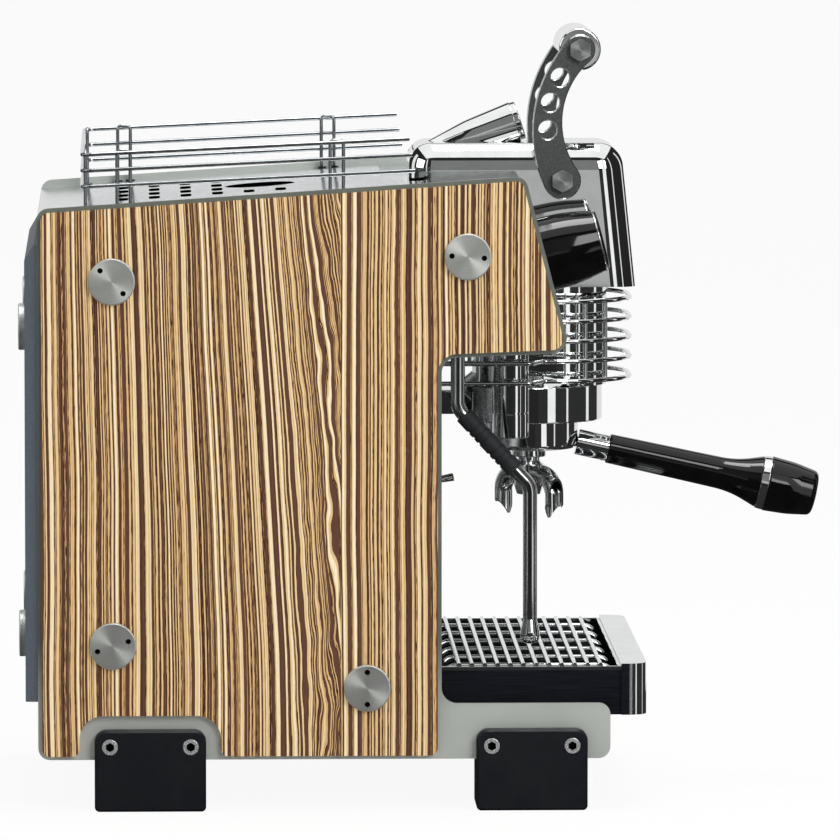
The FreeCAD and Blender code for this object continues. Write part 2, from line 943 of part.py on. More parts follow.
def gauge_needle():
    back = needle_play - 2 * gauge_recess
    face = dial_thickness - gauge_recess + needle_play
    top = face + needle_hub_height
    staff = turned([
        (0, back, 0), (needle_staff_radius, back, 0), (needle_staff_radius, face, 0),
        (needle_hub_radius, face, 0), (needle_hub_radius, top, needle_play), (0, top, 0),
    ])
    tail = needle_length / 3
    pointer = plan([
        (-needle_half_width, 0, 0), (0, -needle_length, 0), (needle_half_width, 0, 0),
        (needle_half_width, tail, 0), (-needle_half_width, tail, 0),
    ], face + needle_play, face + needle_play + needle_thickness)
    needle = staff.fuse(pointer.rotate(V(0, 0, 0), V(0, 0, 1), -needle_rest)).removeSplitter()
    return aimed(needle, gauge_centre, gauge_axis)


def gauge_glass():
    radius = gauge_radius - gauge_wall - hole_play
    glass = Part.makeCylinder(radius, glass_thickness, V(0, 0, -2 * glass_thickness))
    return aimed(glass, gauge_centre, gauge_axis)


def gauge_bezel():
    outer = gauge_radius - bezel_step
    spigot = gauge_radius - gauge_wall - hole_play
    bore = spigot - gauge_wall / 2
    return turned([
        (bore, -glass_thickness, 0), (spigot, -glass_thickness, 0), (spigot, 0, 0), (outer, 0, 0),
        (outer, bezel_reach, edge_round), (bore, bezel_reach, small_round),
    ], gauge_centre, gauge_axis)


# Lever: two curved plates, a roller to pull on and the shaft through the hood

def tangent_centre(reach_grip, reach_pivot):
    """Centre at given distances from both lever ends, on the front side."""
    span_y = pivot_place[0] - grip_place[0]
    span_z = pivot_place[1] - grip_place[1]
    span = math.hypot(span_y, span_z)
    along = (reach_grip ** 2 - reach_pivot ** 2 + span ** 2) / (2 * span)
    aside = math.sqrt(reach_grip ** 2 - along ** 2)
    unit_y = span_y / span
    unit_z = span_z / span
    centre_y = grip_place[0] + along * unit_y + aside * unit_z
    centre_z = grip_place[1] + along * unit_z - aside * unit_y
    return V(0, centre_y, centre_z)


back_centre = tangent_centre(lever_back_radius - grip_end_radius, lever_back_radius - pivot_end_radius)
front_centre = tangent_centre(lever_front_radius + grip_end_radius, lever_front_radius + pivot_end_radius)
grip_point = V(0, grip_place[0], grip_place[1])
pivot_point = V(0, pivot_place[0], pivot_place[1])


def arc_edge(centre, radius, start, through, end):
    """Arc on a circle, by three points that only give directions from its centre."""
    points = [centre + (point - centre).normalize() * radius for point in (start, through, end)]
    return Part.Arc(points[0], points[1], points[2]).toShape()


def lever_plate():
    level = V(0, 0, (grip_place[1] + pivot_place[1]) / 2)
    back_side = V(0, back_centre.y + lever_back_radius, level.z)
    front_side = V(0, front_centre.y + lever_front_radius, level.z)
    above = grip_point + (grip_point - pivot_point)
    below = pivot_point + (pivot_point - grip_point)
    grip_back = grip_point + (grip_point - back_centre)
    grip_front = front_centre
    pivot_back = pivot_point + (pivot_point - back_centre)
    edges = [
        arc_edge(grip_point, grip_end_radius, grip_front, above, grip_back),
        arc_edge(back_centre, lever_back_radius, grip_point, back_side, pivot_point),
        arc_edge(pivot_point, pivot_end_radius, pivot_back, below, front_centre),
        arc_edge(front_centre, lever_front_radius, pivot_point, front_side, grip_point),
    ]
    face = Part.Face(Part.Wire(edges))
    plate = face.extrude(V(lever_sheet, 0, 0))
    plate.translate(V(-lever_outer, 0, 0))
    holes = []
    for z in lever_hole_heights:
        back = back_centre.y + math.sqrt(lever_back_radius ** 2 - (z - back_centre.z) ** 2)
        front = front_centre.y + math.sqrt(lever_front_radius ** 2 - (z - front_centre.z) ** 2)
        middle = (back + front) / 2
        holes.append(rod(lever_hole_radius, V(-lever_outer, middle, z), V(-lever_inner, middle, z)))
    for point in (grip_point, pivot_point):
        centre = V(-lever_outer, point.y, point.z)
        holes.append(rod(bolt_radius + hole_play, centre, centre + V(lever_sheet, 0, 0)))
    plate = plate.cut(holes)
    rims = [edge for edge in plate.Edges if edge.BoundBox.XLength < 0.01]
    return plate.makeChamfer(lever_chamfer, rims)


def lever_bar(point, radius, corner):
    """Round bar between the lever plates, bored at both ends for its bolts."""
    bore = bolt_radius + hole_play
    depth = bolt_length - lever_sheet + hole_play
    length = 2 * lever_inner
    return turned([
        (0, depth, 0), (bore, depth, 0), (bore, 0, 0), (radius, 0, corner), (radius, length, corner),
        (bore, length, 0), (bore, length - depth, 0), (0, length - depth, 0),
    ], V(-lever_inner, point.y, point.z), V(1, 0, 0))


def lever_bolts():
    bolts = []
    for point in (grip_point, pivot_point):
        seat = V(-lever_outer, point.y, point.z)
        head = hexagon(bolt_flats, seat, V(-1, 0, 0), bolt_head)
        bolt = head.fuse(rod(bolt_radius, seat, seat + V(bolt_length, 0, 0))).removeSplitter()
        bolts += [bolt, mirrored(bolt)]
    return Part.makeCompound(bolts)


# Knobs with their spindles, and the valves behind the slanted fascia

def knob():
    middle = (knob_base_radius + knob_tip_radius) / 2 + knob_bulge
    spindle_end = knob_gap + sheet + valve_bore_depth - hole_play
    return turned([
        (0, -spindle_end, 0), (spindle_radius, -spindle_end, small_round), (spindle_radius, 0, 0),
        (knob_base_radius, 0, knob_base_round), (middle, knob_length / 2, 3 * knob_length),
        (knob_tip_radius, knob_length, knob_tip_round), (0, knob_length, 0),
    ], knob_point(knob_gap), nose_normal)


def valve():
    front = -sheet
    back = -sheet - valve_length
    bore = spindle_radius + 2 * hole_play
    bore_end = front - valve_bore_depth
    neck_inset = valve_collar + valve_taper
    return turned([
        (bore, front, 0), (valve_radius, front, 0), (valve_radius, front - valve_collar, edge_round),
        (valve_neck_radius, front - neck_inset, edge_round),
        (valve_neck_radius, back + neck_inset, edge_round), (valve_radius, back + valve_collar, edge_round),
        (valve_radius, back, edge_round), (0, back, 0),
        (0, bore_end, 0), (bore, bore_end, 0),
    ], knob_point(), nose_normal)


def valve_bodies():
    near = mirrored(valve())
    return Part.makeCompound([near, mirrored(near)])


# Group: body, bell with its bayonet lip, gasket, screen and the wire guard

def sector(inner, outer, z_low, z_high, middle, width):
    """Ring segment about the group axis."""
    height = z_high - z_low
    ring = Part.makeCylinder(outer, height, V(0, 0, z_low), V(0, 0, 1), width)
    ring = ring.cut(Part.makeCylinder(inner, height, V(0, 0, z_low)))
    ring.rotate(V(0, 0, 0), V(0, 0, 1), middle - width / 2)
    ring.translate(V(0, group_y, 0))
    return ring


def group_axis(z=0.0):
    return V(0, group_y, z)


def group_body():
    return plan(body_outline(0), bell_top, body_top)


def group_bell():
    shoulder_top = bell_top + bell_shoulder
    bell = turned([
        (lip_radius, bell_bottom, 0), (bell_radius, bell_bottom, edge_round),
        (bell_radius, bell_top, edge_round), (body_half_width + edge_round, shoulder_top, small_round),
        (0, shoulder_top, 0), (0, bell_ceiling, 0),
        (pocket_radius, bell_ceiling, 0), (pocket_radius, bell_bottom + lip_height, 0),
        (lip_radius, bell_bottom + lip_height, 0),
    ], group_axis())
    rear = fascia_face
    low = bell_bottom + neck_lift
    neck = block(-neck_width / 2, neck_width / 2, group_y + pocket_radius, rear, low, low + neck_height)
    neck = neck.cut(Part.makeCylinder(bell_radius - joint_lap, neck_height, group_axis(low)))
    cuts = [plan(body_outline(hole_play), bell_top, shoulder_top + bell_shoulder)]
    for middle in (-lock_turn, 180 - lock_turn):
        cuts.append(sector(lip_radius - joint_lap, pocket_radius, bell_bottom, bell_bottom + lip_height,
                           middle, ear_width + ear_gap))
    return bell.fuse(neck).cut(cuts).removeSplitter()


def group_gasket():
    low = bell_ceiling - gasket_height
    outer = pocket_radius - hole_play
    return turned([
        (outer - gasket_width, low, 0), (outer, low, small_round), (outer, bell_ceiling, 0),
        (outer - gasket_width, bell_ceiling, 0),
    ], group_axis())


def shower_screen():
    low = bell_ceiling - screen_height
    screw_low = low - screen_screw_head
    return turned([
        (0, screw_low, 0), (screen_screw_radius, screw_low, screen_screw_head / 2),
        (screen_screw_radius, low, 0), (screen_radius, low, edge_round), (screen_radius, bell_ceiling, 0),
        (0, bell_ceiling, 0),
    ], group_axis())


def guard_ring(level):
    """One bent wire: a round front, then short to the slanted fascia or out and back to the front fascia."""
    z = guard_top - level * guard_pitch
    front = group_y - guard_radius
    if level < guard_short_rings:
        rear = nose_at(z, fascia_set)
        right = [(V(guard_radius, front, z), guard_bend), (V(guard_radius, rear + guard_wire, z), 0)]
    else:
        jog_end = guard_jog_place + guard_jog_length
        right = [
            (V(guard_radius, front, z), guard_bend), (V(guard_radius, guard_jog_place, z), guard_jog_bend),
            (V(guard_side, jog_end, z), guard_jog_bend), (V(guard_side, fascia_face, z), 0),
        ]
    left = [(V(-point.x, point.y, point.z), bend) for point, bend in reversed(right)]
    return bent_rod(left + right, guard_wire / 2)


def guard_front_point(angle, inset):
    """Point on the rounded front of the guard, at an angle from straight ahead."""
    centre_x = guard_radius - guard_bend
    centre_y = group_y - guard_radius + guard_bend
    reach = guard_bend - inset
    return V(centre_x + reach * sin(angle), centre_y - reach * cos(angle), 0)


def wire_guard():
    low = guard_top - (guard_rings - 1) * guard_pitch
    wires = [guard_ring(level) for level in range(guard_rings)]
    inset = guard_wire - weld
    for angle in guard_upright_angles:
        place = guard_front_point(angle, inset)
        for x in (-place.x, place.x):
            wires.append(rod(guard_wire / 2, V(x, place.y, low - guard_wire / 2),
                             V(x, place.y, guard_top + guard_wire / 2)))
    for y in guard_stay_places:
        for x in (inset - guard_side, guard_side - inset):
            top = guard_top - guard_short_rings * guard_pitch + guard_wire / 2
            wires.append(rod(guard_wire / 2, V(x, y, low - guard_wire / 2), V(x, y, top)))
    guard = joined(wires)
    under = under_at(nose_reach, under_set)
    behind = slab([
        (nose_at(hood_bottom, fascia_set), hood_bottom, 0), (nose_at(under, fascia_set), under, 0),
        (frame_rear, under, 0), (frame_rear, hood_bottom, 0),
    ], -half_case, half_case)
    return guard.cut(behind)


def above_under_panel():
    """Everything above the lower face of the panel under the overhang."""
    return slab([
        (fascia_face, under_at(fascia_face, under_set), 0), (nose_reach, under_at(nose_reach, under_set), 0),
        (nose_reach, hood_top, 0), (fascia_face, hood_top, 0),
    ], -half_case, half_case)


def water_outlet():
    side = math.sqrt((bell_radius + outlet_gap + outlet_radius) ** 2 - outlet_offset ** 2)
    groove = outlet_radius - outlet_groove_half
    groove_low = outlet_groove - outlet_groove_half
    groove_high = outlet_groove + outlet_groove_half
    bore_end = outlet_bottom + outlet_bore_depth
    pillar = turned([
        (outlet_bore, outlet_bottom, 0), (outlet_radius, outlet_bottom, edge_round),
        (outlet_radius, groove_low, 0), (groove, groove_low, 0), (groove, groove_high, 0),
        (outlet_radius, groove_high, 0), (outlet_radius, hood_bottom, 0), (0, hood_bottom, 0),
        (0, bore_end, 0), (outlet_bore, bore_end, 0),
    ], V(-side, group_y + outlet_offset, 0))
    return pillar.cut(above_under_panel())


# Portafilter with its basket, handle and twin spout

handle_axis = V(0, -cos(handle_drop), -sin(handle_drop))
handle_base = V(0, handle_start[0], handle_start[1])


def portafilter():
    inner = bowl_radius - bowl_wall
    floor = bowl_bottom + bowl_floor
    hub = hub_radius + bowl_hub_wall
    hub_low = bowl_bottom - bowl_hub_drop
    seat = rim_top - basket_rim
    bowl = turned([
        (bowl_drain, hub_low, 0), (hub, hub_low, edge_round), (hub, bowl_bottom - bowl_taper, 0),
        (bowl_radius, bowl_bottom, bowl_round), (bowl_radius, seat, 0), (inner, seat, 0),
        (inner, floor + bowl_taper, 0), (bowl_drain, floor, 0),
    ], group_axis())
    ears = []
    for middle in (0, 180):
        ears.append(sector(inner + joint_lap, ear_radius, ear_bottom, seat, middle, ear_width))
    handle_y, handle_z = handle_start
    wall_y = group_y - bowl_radius
    root = handle_base - handle_axis * (wall_y - handle_y + bowl_wall / 2)
    neck = rod(neck_radius, root, handle_base)
    gusset = slab([
        (wall_y + joint_lap, bowl_bottom + bowl_taper / 2, 0),
        (handle_y + gusset_reach, handle_z - neck_radius + joint_lap, 0),
        (handle_y + gusset_reach, handle_z, 0), (wall_y + joint_lap, handle_z + neck_radius, 0),
    ], -gusset_half, gusset_half)
    inside = Part.makeCylinder(inner + joint_lap, rim_top - floor, group_axis(floor))
    arm = joined([neck, gusset]).cut(inside)
    return joined([bowl, arm] + ears)


def filter_basket():
    outer = bowl_radius - bowl_wall - basket_play
    inner = outer - basket_wall
    rim = bowl_radius - basket_rim_inset
    low = rim_top - basket_depth
    taper_top = low + basket_taper_height
    seat = rim_top - basket_rim
    return turned([
        (0, low, 0), (outer - basket_taper, low, edge_round), (outer, taper_top, 0), (outer, seat, 0),
        (rim, seat, 0), (rim, rim_top, basket_rim / 3), (inner, rim_top, basket_rim / 3),
        (inner, taper_top + basket_wall, 0), (inner - basket_taper, low + basket_wall, 0),
        (0, low + basket_wall, 0),
    ], group_axis())


def portafilter_handle():
    return turned([
        (0, 0, 0), (handle_start_radius, 0, edge_round), (handle_waist_radius, handle_straight, handle_sweep),
        (handle_flare_radius, handle_straight + handle_flare, small_round),
        (0, handle_straight + handle_flare, 0),
    ], handle_base, handle_axis)


def handle_ring():
    start = handle_straight + handle_flare
    end = start + ring_thickness
    radius = handle_flare_radius + ring_step
    return turned([
        (0, start, 0), (radius, start, small_round), (radius + ring_flare, end, small_round), (0, end, 0),
    ], handle_base, handle_axis)


def handle_cap():
    start = handle_straight + handle_flare + ring_thickness
    radius = handle_flare_radius + cap_step
    belly = (radius + cap_end_radius) / 2 + cap_belly
    return turned([
        (0, start, 0), (radius, start, edge_round), (belly, start + cap_length / 2, cap_sweep),
        (cap_end_radius, start + cap_length, cap_corner), (0, start + cap_length, 0),
    ], handle_base, handle_axis)


def spout_arm():
    """Open trough that leaves the hub along +X and turns down to a pointed tip."""
    path = [
        (V(hub_radius / 2, 0, spout_height), 0), (V(spout_reach, 0, spout_height), spout_bend),
        (V(spout_reach, 0, spout_tip), 0),
    ]
    trough = bent_rod(path, spout_radius).cut(bent_rod(path, spout_radius - spout_wall))
    open_face = spout_reach + spout_radius / 3
    reach = 2 * spout_reach
    below = spout_tip - 1
    cuts = [block(open_face, reach, -reach, reach, below, spout_height + reach)]
    for side in (-1, 1):
        wide = side * 2 * spout_radius
        wedge = Part.Face(Part.makePolygon([
            V(0, 0, below), V(0, wide, below), V(0, wide, spout_tip + spout_point), V(0, 0, below),
        ]))
        cuts.append(wedge.extrude(V(reach, 0, 0)))
    return trough.cut(cuts)


def twin_spout():
    top = bowl_bottom - bowl_hub_drop
    low = top - hub_height
    shoulder = spout_height + hub_shoulder
    hub = turned([
        (0, low, 0), (hub_end_radius, low, edge_round), (hub_radius, low + hub_taper, edge_round),
        (hub_radius, shoulder, edge_round), (hub_neck_radius, shoulder + hub_step, small_round),
        (hub_neck_radius, top, 0), (0, top, 0),
    ])
    arm = spout_arm().cut(Part.makeCylinder(hub_radius - joint_lap, hub_height, V(0, 0, low)))
    spout = joined([hub, arm, arm.rotated(V(0, 0, 0), V(0, 0, 1), 180)])
    spout.rotate(V(0, 0, 0), V(0, 0, 1), spout_clock)
    spout.translate(V(0, group_y, 0))
    return spout


# Steam wand on its ball joint

ball_centre = V(-knob_x, wand_y, ball_height)


def steam_socket():
    cavity = Part.makeSphere(ball_radius + ball_play, ball_centre)
    low = ball_height - socket_drop
    housing = Part.makeCylinder(socket_radius, socket_drop + socket_rise, V(-knob_x, wand_y, low))
    mouth = Part.makeCylinder(socket_mouth, socket_drop, V(-knob_x, wand_y, low))
    collar_low = under_at(wand_y, under_set + sheet) + socket_collar_gap
    collar_radius_out = socket_radius + socket_collar
    collar = Part.makeCylinder(collar_radius_out, socket_collar_height, V(-knob_x, wand_y, collar_low))
    return housing.fuse(collar).cut([cavity, mouth]).removeSplitter()


def steam_ball():
    return Part.makeSphere(ball_radius, ball_centre)


def wand_corners():
    return [
        (ball_centre, 0), (V(-knob_x, wand_y, wand_upper_bend), wand_bend_radius),
        (V(-knob_x, wand_run_y, wand_lower_bend), wand_bend_radius), (V(-knob_x, wand_run_y, tip_top), 0),
    ]


def steam_pipe():
    pipe = bent_rod(wand_corners(), wand_radius)
    return pipe.cut(Part.makeSphere(ball_radius + ball_play, ball_centre))


def steam_grip():
    upper = wand_corners()[1][0]
    along = (wand_corners()[2][0] - upper).normalize()
    bore = wand_radius + grip_play
    low = grip_radius - grip_groove
    profile = [(bore, 0, 0), (grip_radius, 0, small_round)]
    for band in (grip_length / 5, 3 * grip_length / 5):
        for index in range(grip_grooves):
            start = band + index * grip_groove_pitch
            end = start + grip_groove_width
            profile += [(grip_radius, start, 0), (low, start, 0), (low, end, 0), (grip_radius, end, 0)]
    profile += [(grip_radius, grip_length, small_round), (bore, grip_length, 0)]
    return turned(profile, upper + along * grip_start, along)


def steam_tip():
    return turned([
        (0, tip_bottom, 0), (tip_nose_radius, tip_bottom, tip_nose_round),
        (tip_radius, tip_bottom + tip_belly, tip_belly_round), (wand_radius - tip_neck, tip_top, 0),
        (0, tip_top, 0),
    ], V(-knob_x, wand_run_y, 0))


# Power switch on the front fascia

toggle_pivot = V(toggle_x, fascia_face, toggle_height)


def switch_body():
    width, depth, height = switch_body_size
    back = fascia_face + sheet
    body = block(toggle_x - width / 2, toggle_x + width / 2, back, back + depth,
                 toggle_height - height / 2, toggle_height + height / 2)
    bushing = turned([
        (bushing_bore, 0, 0), (bushing_radius, 0, 0), (bushing_radius, bushing_length, edge_round),
        (bushing_bore, bushing_length, 0),
    ], toggle_pivot, V(0, -1, 0))
    wall = bushing_wall
    barrel = turned([
        (bushing_bore - wall, -sheet - wall, 0), (bushing_bore, -sheet - wall, 0), (bushing_bore, 0, 0),
        (bushing_bore + wall, 0, 0), (bushing_bore + wall, wall, 0), (bushing_bore - wall, wall, 0),
    ], toggle_pivot, V(0, -1, 0))
    well = rod(bushing_bore - wall, toggle_pivot, toggle_pivot + V(0, sheet + depth / 3, 0))
    return joined([body, barrel, bushing]).cut(well)


def toggle_lever():
    axis = V(0, -cos(toggle_lift), sin(toggle_lift))
    ball = bushing_bore - bushing_wall - ball_play
    bat = turned([
        (0, 0, 0), (toggle_root_radius, 0, 0), (toggle_root_radius, bushing_length, 0),
        (toggle_end_radius, toggle_length, edge_round), (0, toggle_length, 0),
    ], toggle_pivot, axis)
    return bat.fuse(Part.makeSphere(ball, toggle_pivot)).removeSplitter()


# Drip tray that slides out between the frame feet, with its polished front and wire grid

tray_half = inner_face - tray_gap
tray_body_half = tray_half - tray_skin
tray_body_front = tray_front + tray_skin + hole_play
tray_rear = fascia_face - tray_rear_gap
tray_rim = tray_top - tray_skin


def tray_outline(half, front, rear, corner):
    """Top view of the tray or its front: square at the rear with round front corners."""
    return [(-half, rear, 0), (-half, front, corner), (half, front, corner), (half, rear, 0)]


def drip_tray():
    corner = tray_corner - tray_skin
    wall = tray_sheet
    body = plan(tray_outline(tray_body_half, tray_body_front, tray_rear, corner), tray_bottom, tray_rim)
    basin = tray_outline(tray_body_half - wall, tray_body_front + wall, tray_rear - wall, corner - wall)
    return body.cut(plan(basin, tray_bottom + wall, tray_rim))


def tray_front_cap():
    rear = tray_front + tray_border
    cap = plan(tray_outline(tray_half, tray_front, rear, tray_corner), tray_bottom, tray_top)
    corner = tray_corner - tray_skin
    room = tray_outline(tray_body_half + hole_play, tray_body_front - hole_play, rear, corner)
    return cap.cut(plan(room, tray_bottom, tray_rim))


def cup_grid():
    half = tray_body_half - tray_sheet - grid_margin
    front = tray_front + tray_border + grid_margin + grid_support_wire / 2
    rear = tray_rear - tray_sheet - grid_margin - grid_support_wire / 2
    floor = tray_bottom + tray_sheet
    cross_z = tray_top - grid_wire / 2
    support_z = cross_z - grid_wire / 2 - grid_support_wire / 2 + weld
    wires = []
    for index in range(grid_supports):
        x = (index - (grid_supports - 1) / 2) * grid_support_pitch
        wires.append(bent_rod([
            (V(x, front, floor), 0), (V(x, front, support_z), grid_leg_bend),
            (V(x, rear, support_z), grid_leg_bend), (V(x, rear, floor), 0),
        ], grid_support_wire / 2))
    span = rear - front - 2 * grid_leg_bend
    count = int(span / grid_pitch) + 1
    first = (front + rear) / 2 - (count - 1) * grid_pitch / 2
    for index in range(count):
        y = first + index * grid_pitch
        wires.append(rod(grid_wire / 2, V(-half, y, cross_z), V(half, y, cross_z)))
    return joined(wires)


# Inside: tank on its shelf, boiler on its stand, pump, electrics and pipes

def tank_outline(wall):
    half = tank_width / 2 - wall
    front = tank_front + wall
    rear = tank_rear - wall
    corner = tank_round - wall
    return [(-half, front, corner), (half, front, corner), (half, rear, corner), (-half, rear, corner)]


def water_tank():
    top = top_at(tank_rear, deck_drop + sheet) - tank_headroom
    outer = plan(tank_outline(0), shelf_height, top)
    return outer.cut(plan(tank_outline(tank_wall), shelf_height + tank_wall, top))


def tank_shelf():
    front = tank_front - shelf_margin
    rear = tank_rear + shelf_margin
    low = shelf_height - shelf_flange
    pieces = [block(-inner_face, inner_face, front, rear, shelf_height - sheet, shelf_height)]
    for side in (-1, 1):
        wall = side * (inner_face - sheet / 2)
        pieces.append(block(wall - sheet / 2, wall + sheet / 2, front, rear, low, shelf_height))
    return joined(pieces)


def boiler_axis(x):
    return V(x, boiler_y, boiler_height)


def boiler():
    half = boiler_length / 2
    radius = boiler_radius
    wall = boiler_wall
    return turned([
        (0, -half, 0), (radius, -half, radius / 4), (radius, half, 0), (radius - wall, half, 0),
        (radius - wall, wall - half, radius / 4 - wall), (0, wall - half, 0),
    ], boiler_axis(0), V(1, 0, 0))


def boiler_stand():
    front = boiler_y - stand_depth / 2
    rear = boiler_y + stand_depth / 2
    top = boiler_height - boiler_radius / 3
    shell = rod(boiler_radius + hole_play, boiler_axis(-half_case), boiler_axis(half_case))
    saddles = []
    for x in (-stand_side, stand_side):
        half = stand_sheet / 2
        plate = block(x - half, x + half, front, rear, pan_floor, top)
        half = 4 * stand_sheet
        foot_plate = block(x - half, x + half, front, rear, pan_floor, pan_floor + stand_sheet)
        saddles.append(plate.fuse(foot_plate).removeSplitter().cut(shell))
    return Part.makeCompound(saddles)


def heating_element():
    half = boiler_length / 2
    seat = turned([
        (0, half, 0), (flange_radius, half, small_round),
        (flange_radius, half + flange_thickness, edge_round),
        (0, half + flange_thickness, 0),
    ], boiler_axis(0), V(1, 0, 0))
    outer = half + flange_thickness + element_terminal
    hairpin = bent_rod([
        (boiler_axis(outer) + V(0, element_spread, 0), 0),
        (boiler_axis(half - element_length) + V(0, element_spread, 0), element_spread - hole_play),
        (boiler_axis(half - element_length) - V(0, element_spread, 0), element_spread - hole_play),
        (boiler_axis(outer) - V(0, element_spread, 0), 0),
    ], element_radius)
    return joined([seat, hairpin])


def pump():
    def axis(x):
        return V(pump_x + x, pump_y, pump_height)

    motor = turned([
        (0, 0, 0), (pump_radius, 0, pump_round), (pump_radius, pump_length, pump_round), (0, pump_length, 0),
    ], axis(0), V(1, 0, 0))
    head = turned([
        (0, 0, 0), (pump_head_radius, 0, edge_round), (pump_head_radius, pump_head_length, edge_round),
        (0, pump_head_length, 0),
    ], axis(0), V(-1, 0, 0))
    cradle = block(pump_x + pump_foot_inset, pump_x + pump_length - pump_foot_inset,
                   pump_y - pump_foot / 2, pump_y + pump_foot / 2, pan_floor, pump_height)
    return joined([motor, head, cradle])


def control_box():
    rear = control_y + control_length
    top = control_low + control_height
    return slab([
        (control_y, control_low, control_round), (rear, control_low, control_round),
        (rear, top, control_round), (control_y, top, control_round),
    ], inner_face - control_depth, inner_face)


def solenoid_valve():
    x, y = solenoid_place
    half = solenoid_size / 2
    body = block(x - half, x + half, y - half, y + half, pan_floor, pan_floor + solenoid_size)
    coil = turned([
        (0, 0, 0), (coil_radius, 0, 0), (coil_radius, coil_height, coil_round), (stem_radius, coil_height, 0),
        (stem_radius, coil_height + stem_height, edge_round), (0, coil_height + stem_height, 0),
    ], V(x, y, pan_floor + solenoid_size))
    return joined([body, coil])


def boiler_pipe(side):
    """Bent tube from the back of a valve down to the top of the boiler."""
    start = knob_point(-sheet - valve_length)
    leave = knob_point(-sheet - valve_length - 2 * pipe_bend)
    x = side * knob_x
    top = V(x, boiler_y, leave.z)
    foot_point = V(x, boiler_y, boiler_height)
    pipe = bent_rod([
        (V(x, start.y, start.z), 0), (V(x, leave.y, leave.z), pipe_bend), (top, pipe_bend), (foot_point, 0),
    ], pipe_radius)
    shell = rod(boiler_radius, boiler_axis(-half_case), boiler_axis(half_case))
    return pipe.cut(shell)


def pipework():
    return Part.makeCompound([boiler_pipe(-1), boiler_pipe(1)])


def power_inlet():
    x, z = inlet_place
    back = frame_rear + cover_depth
    half_w = inlet_width / 2
    half_h = inlet_height / 2
    floor = back - inlet_depth
    wall = inlet_well
    body = block(x - half_w, x + half_w, floor, back, z - half_h, z + half_h)
    well_half = half_w - 2 * wall
    well = block(x - well_half, x + well_half, floor + wall, back, z - half_h + wall, z + half_h - wall)
    pins = []
    for offset, rise in ((-pin_spread, -pin_drop), (0, earth_pin_rise), (pin_spread, -pin_drop)):
        pin_x = x + offset
        pin_z = z + rise
        pins.append(block(pin_x - pin_half_width, pin_x + pin_half_width, floor, back - wall,
                          pin_z - pin_half_height, pin_z + pin_half_height))
    return joined([body.cut(well)] + pins)


# Every piece with its node name

frame_left = side_frame()
panel_left = wood_panel()
plate_left = lever_plate()
steam_knob = mirrored(knob())

nodes = {
    "side_frame_left": frame_left,
    "side_frame_right": mirrored(frame_left),
    "wood_panel_left": panel_left,
    "wood_panel_right": mirrored(panel_left),
    "cap_discs": cap_discs(),
    "feet": feet(),
    "foot_screws": foot_screws(),
    "base_pan": base_pan(),
    "front_fascia": front_fascia(),
    "upper_fascia": upper_fascia(),
    "top_deck": top_deck(),
    "rear_cover": rear_cover(),
    "cup_tray": cup_tray(),
    "cup_rail": cup_rail(),
    "group_hood": group_hood(),
    "gauge_housing": gauge_housing(),
    "gauge_dial": gauge_dial(),
    "gauge_needle": gauge_needle(),
    "gauge_glass": gauge_glass(),
    "gauge_bezel": gauge_bezel(),
    "lever_plate_left": plate_left,
    "lever_plate_right": mirrored(plate_left),
    "lever_roller": lever_bar(grip_point, roller_radius, 1.5),
    "lever_shaft": lever_bar(pivot_point, shaft_radius, 0.5),
    "lever_bolts": lever_bolts(),
    "steam_knob": steam_knob,
    "water_knob": mirrored(steam_knob),
    "valve_bodies": valve_bodies(),
    "group_body": group_body(),
    "group_bell": group_bell(),
    "group_gasket": group_gasket(),
    "shower_screen": shower_screen(),
    "wire_guard": wire_guard(),
    "water_outlet": water_outlet(),
    "portafilter": portafilter(),
    "filter_basket": filter_basket(),
    "portafilter_handle": portafilter_handle(),
    "handle_ring": handle_ring(),
    "handle_cap": handle_cap(),
    "twin_spout": twin_spout(),
    "steam_socket": steam_socket(),
    "steam_ball": steam_ball(),
    "steam_pipe": steam_pipe(),
    "steam_grip": steam_grip(),
    "steam_tip": steam_tip(),
    "switch_body": switch_body(),
    "toggle_lever": toggle_lever(),
    "drip_tray": drip_tray(),
    "tray_front": tray_front_cap(),
    "cup_grid": cup_grid(),
    "water_tank": water_tank(),
    "tank_shelf": tank_shelf(),
    "boiler": boiler(),
    "boiler_stand": boiler_stand(),
    "heating_element": heating_element(),
    "pump": pump(),
    "control_box": control_box(),
    "solenoid_valve": solenoid_valve(),
    "pipework": pipework(),
    "power_inlet": power_inlet(),
}

os.makedirs("parts", exist_ok=True)
for name, shape in nodes.items():
    shape.exportStep("parts/" + name + ".step")
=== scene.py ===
import math

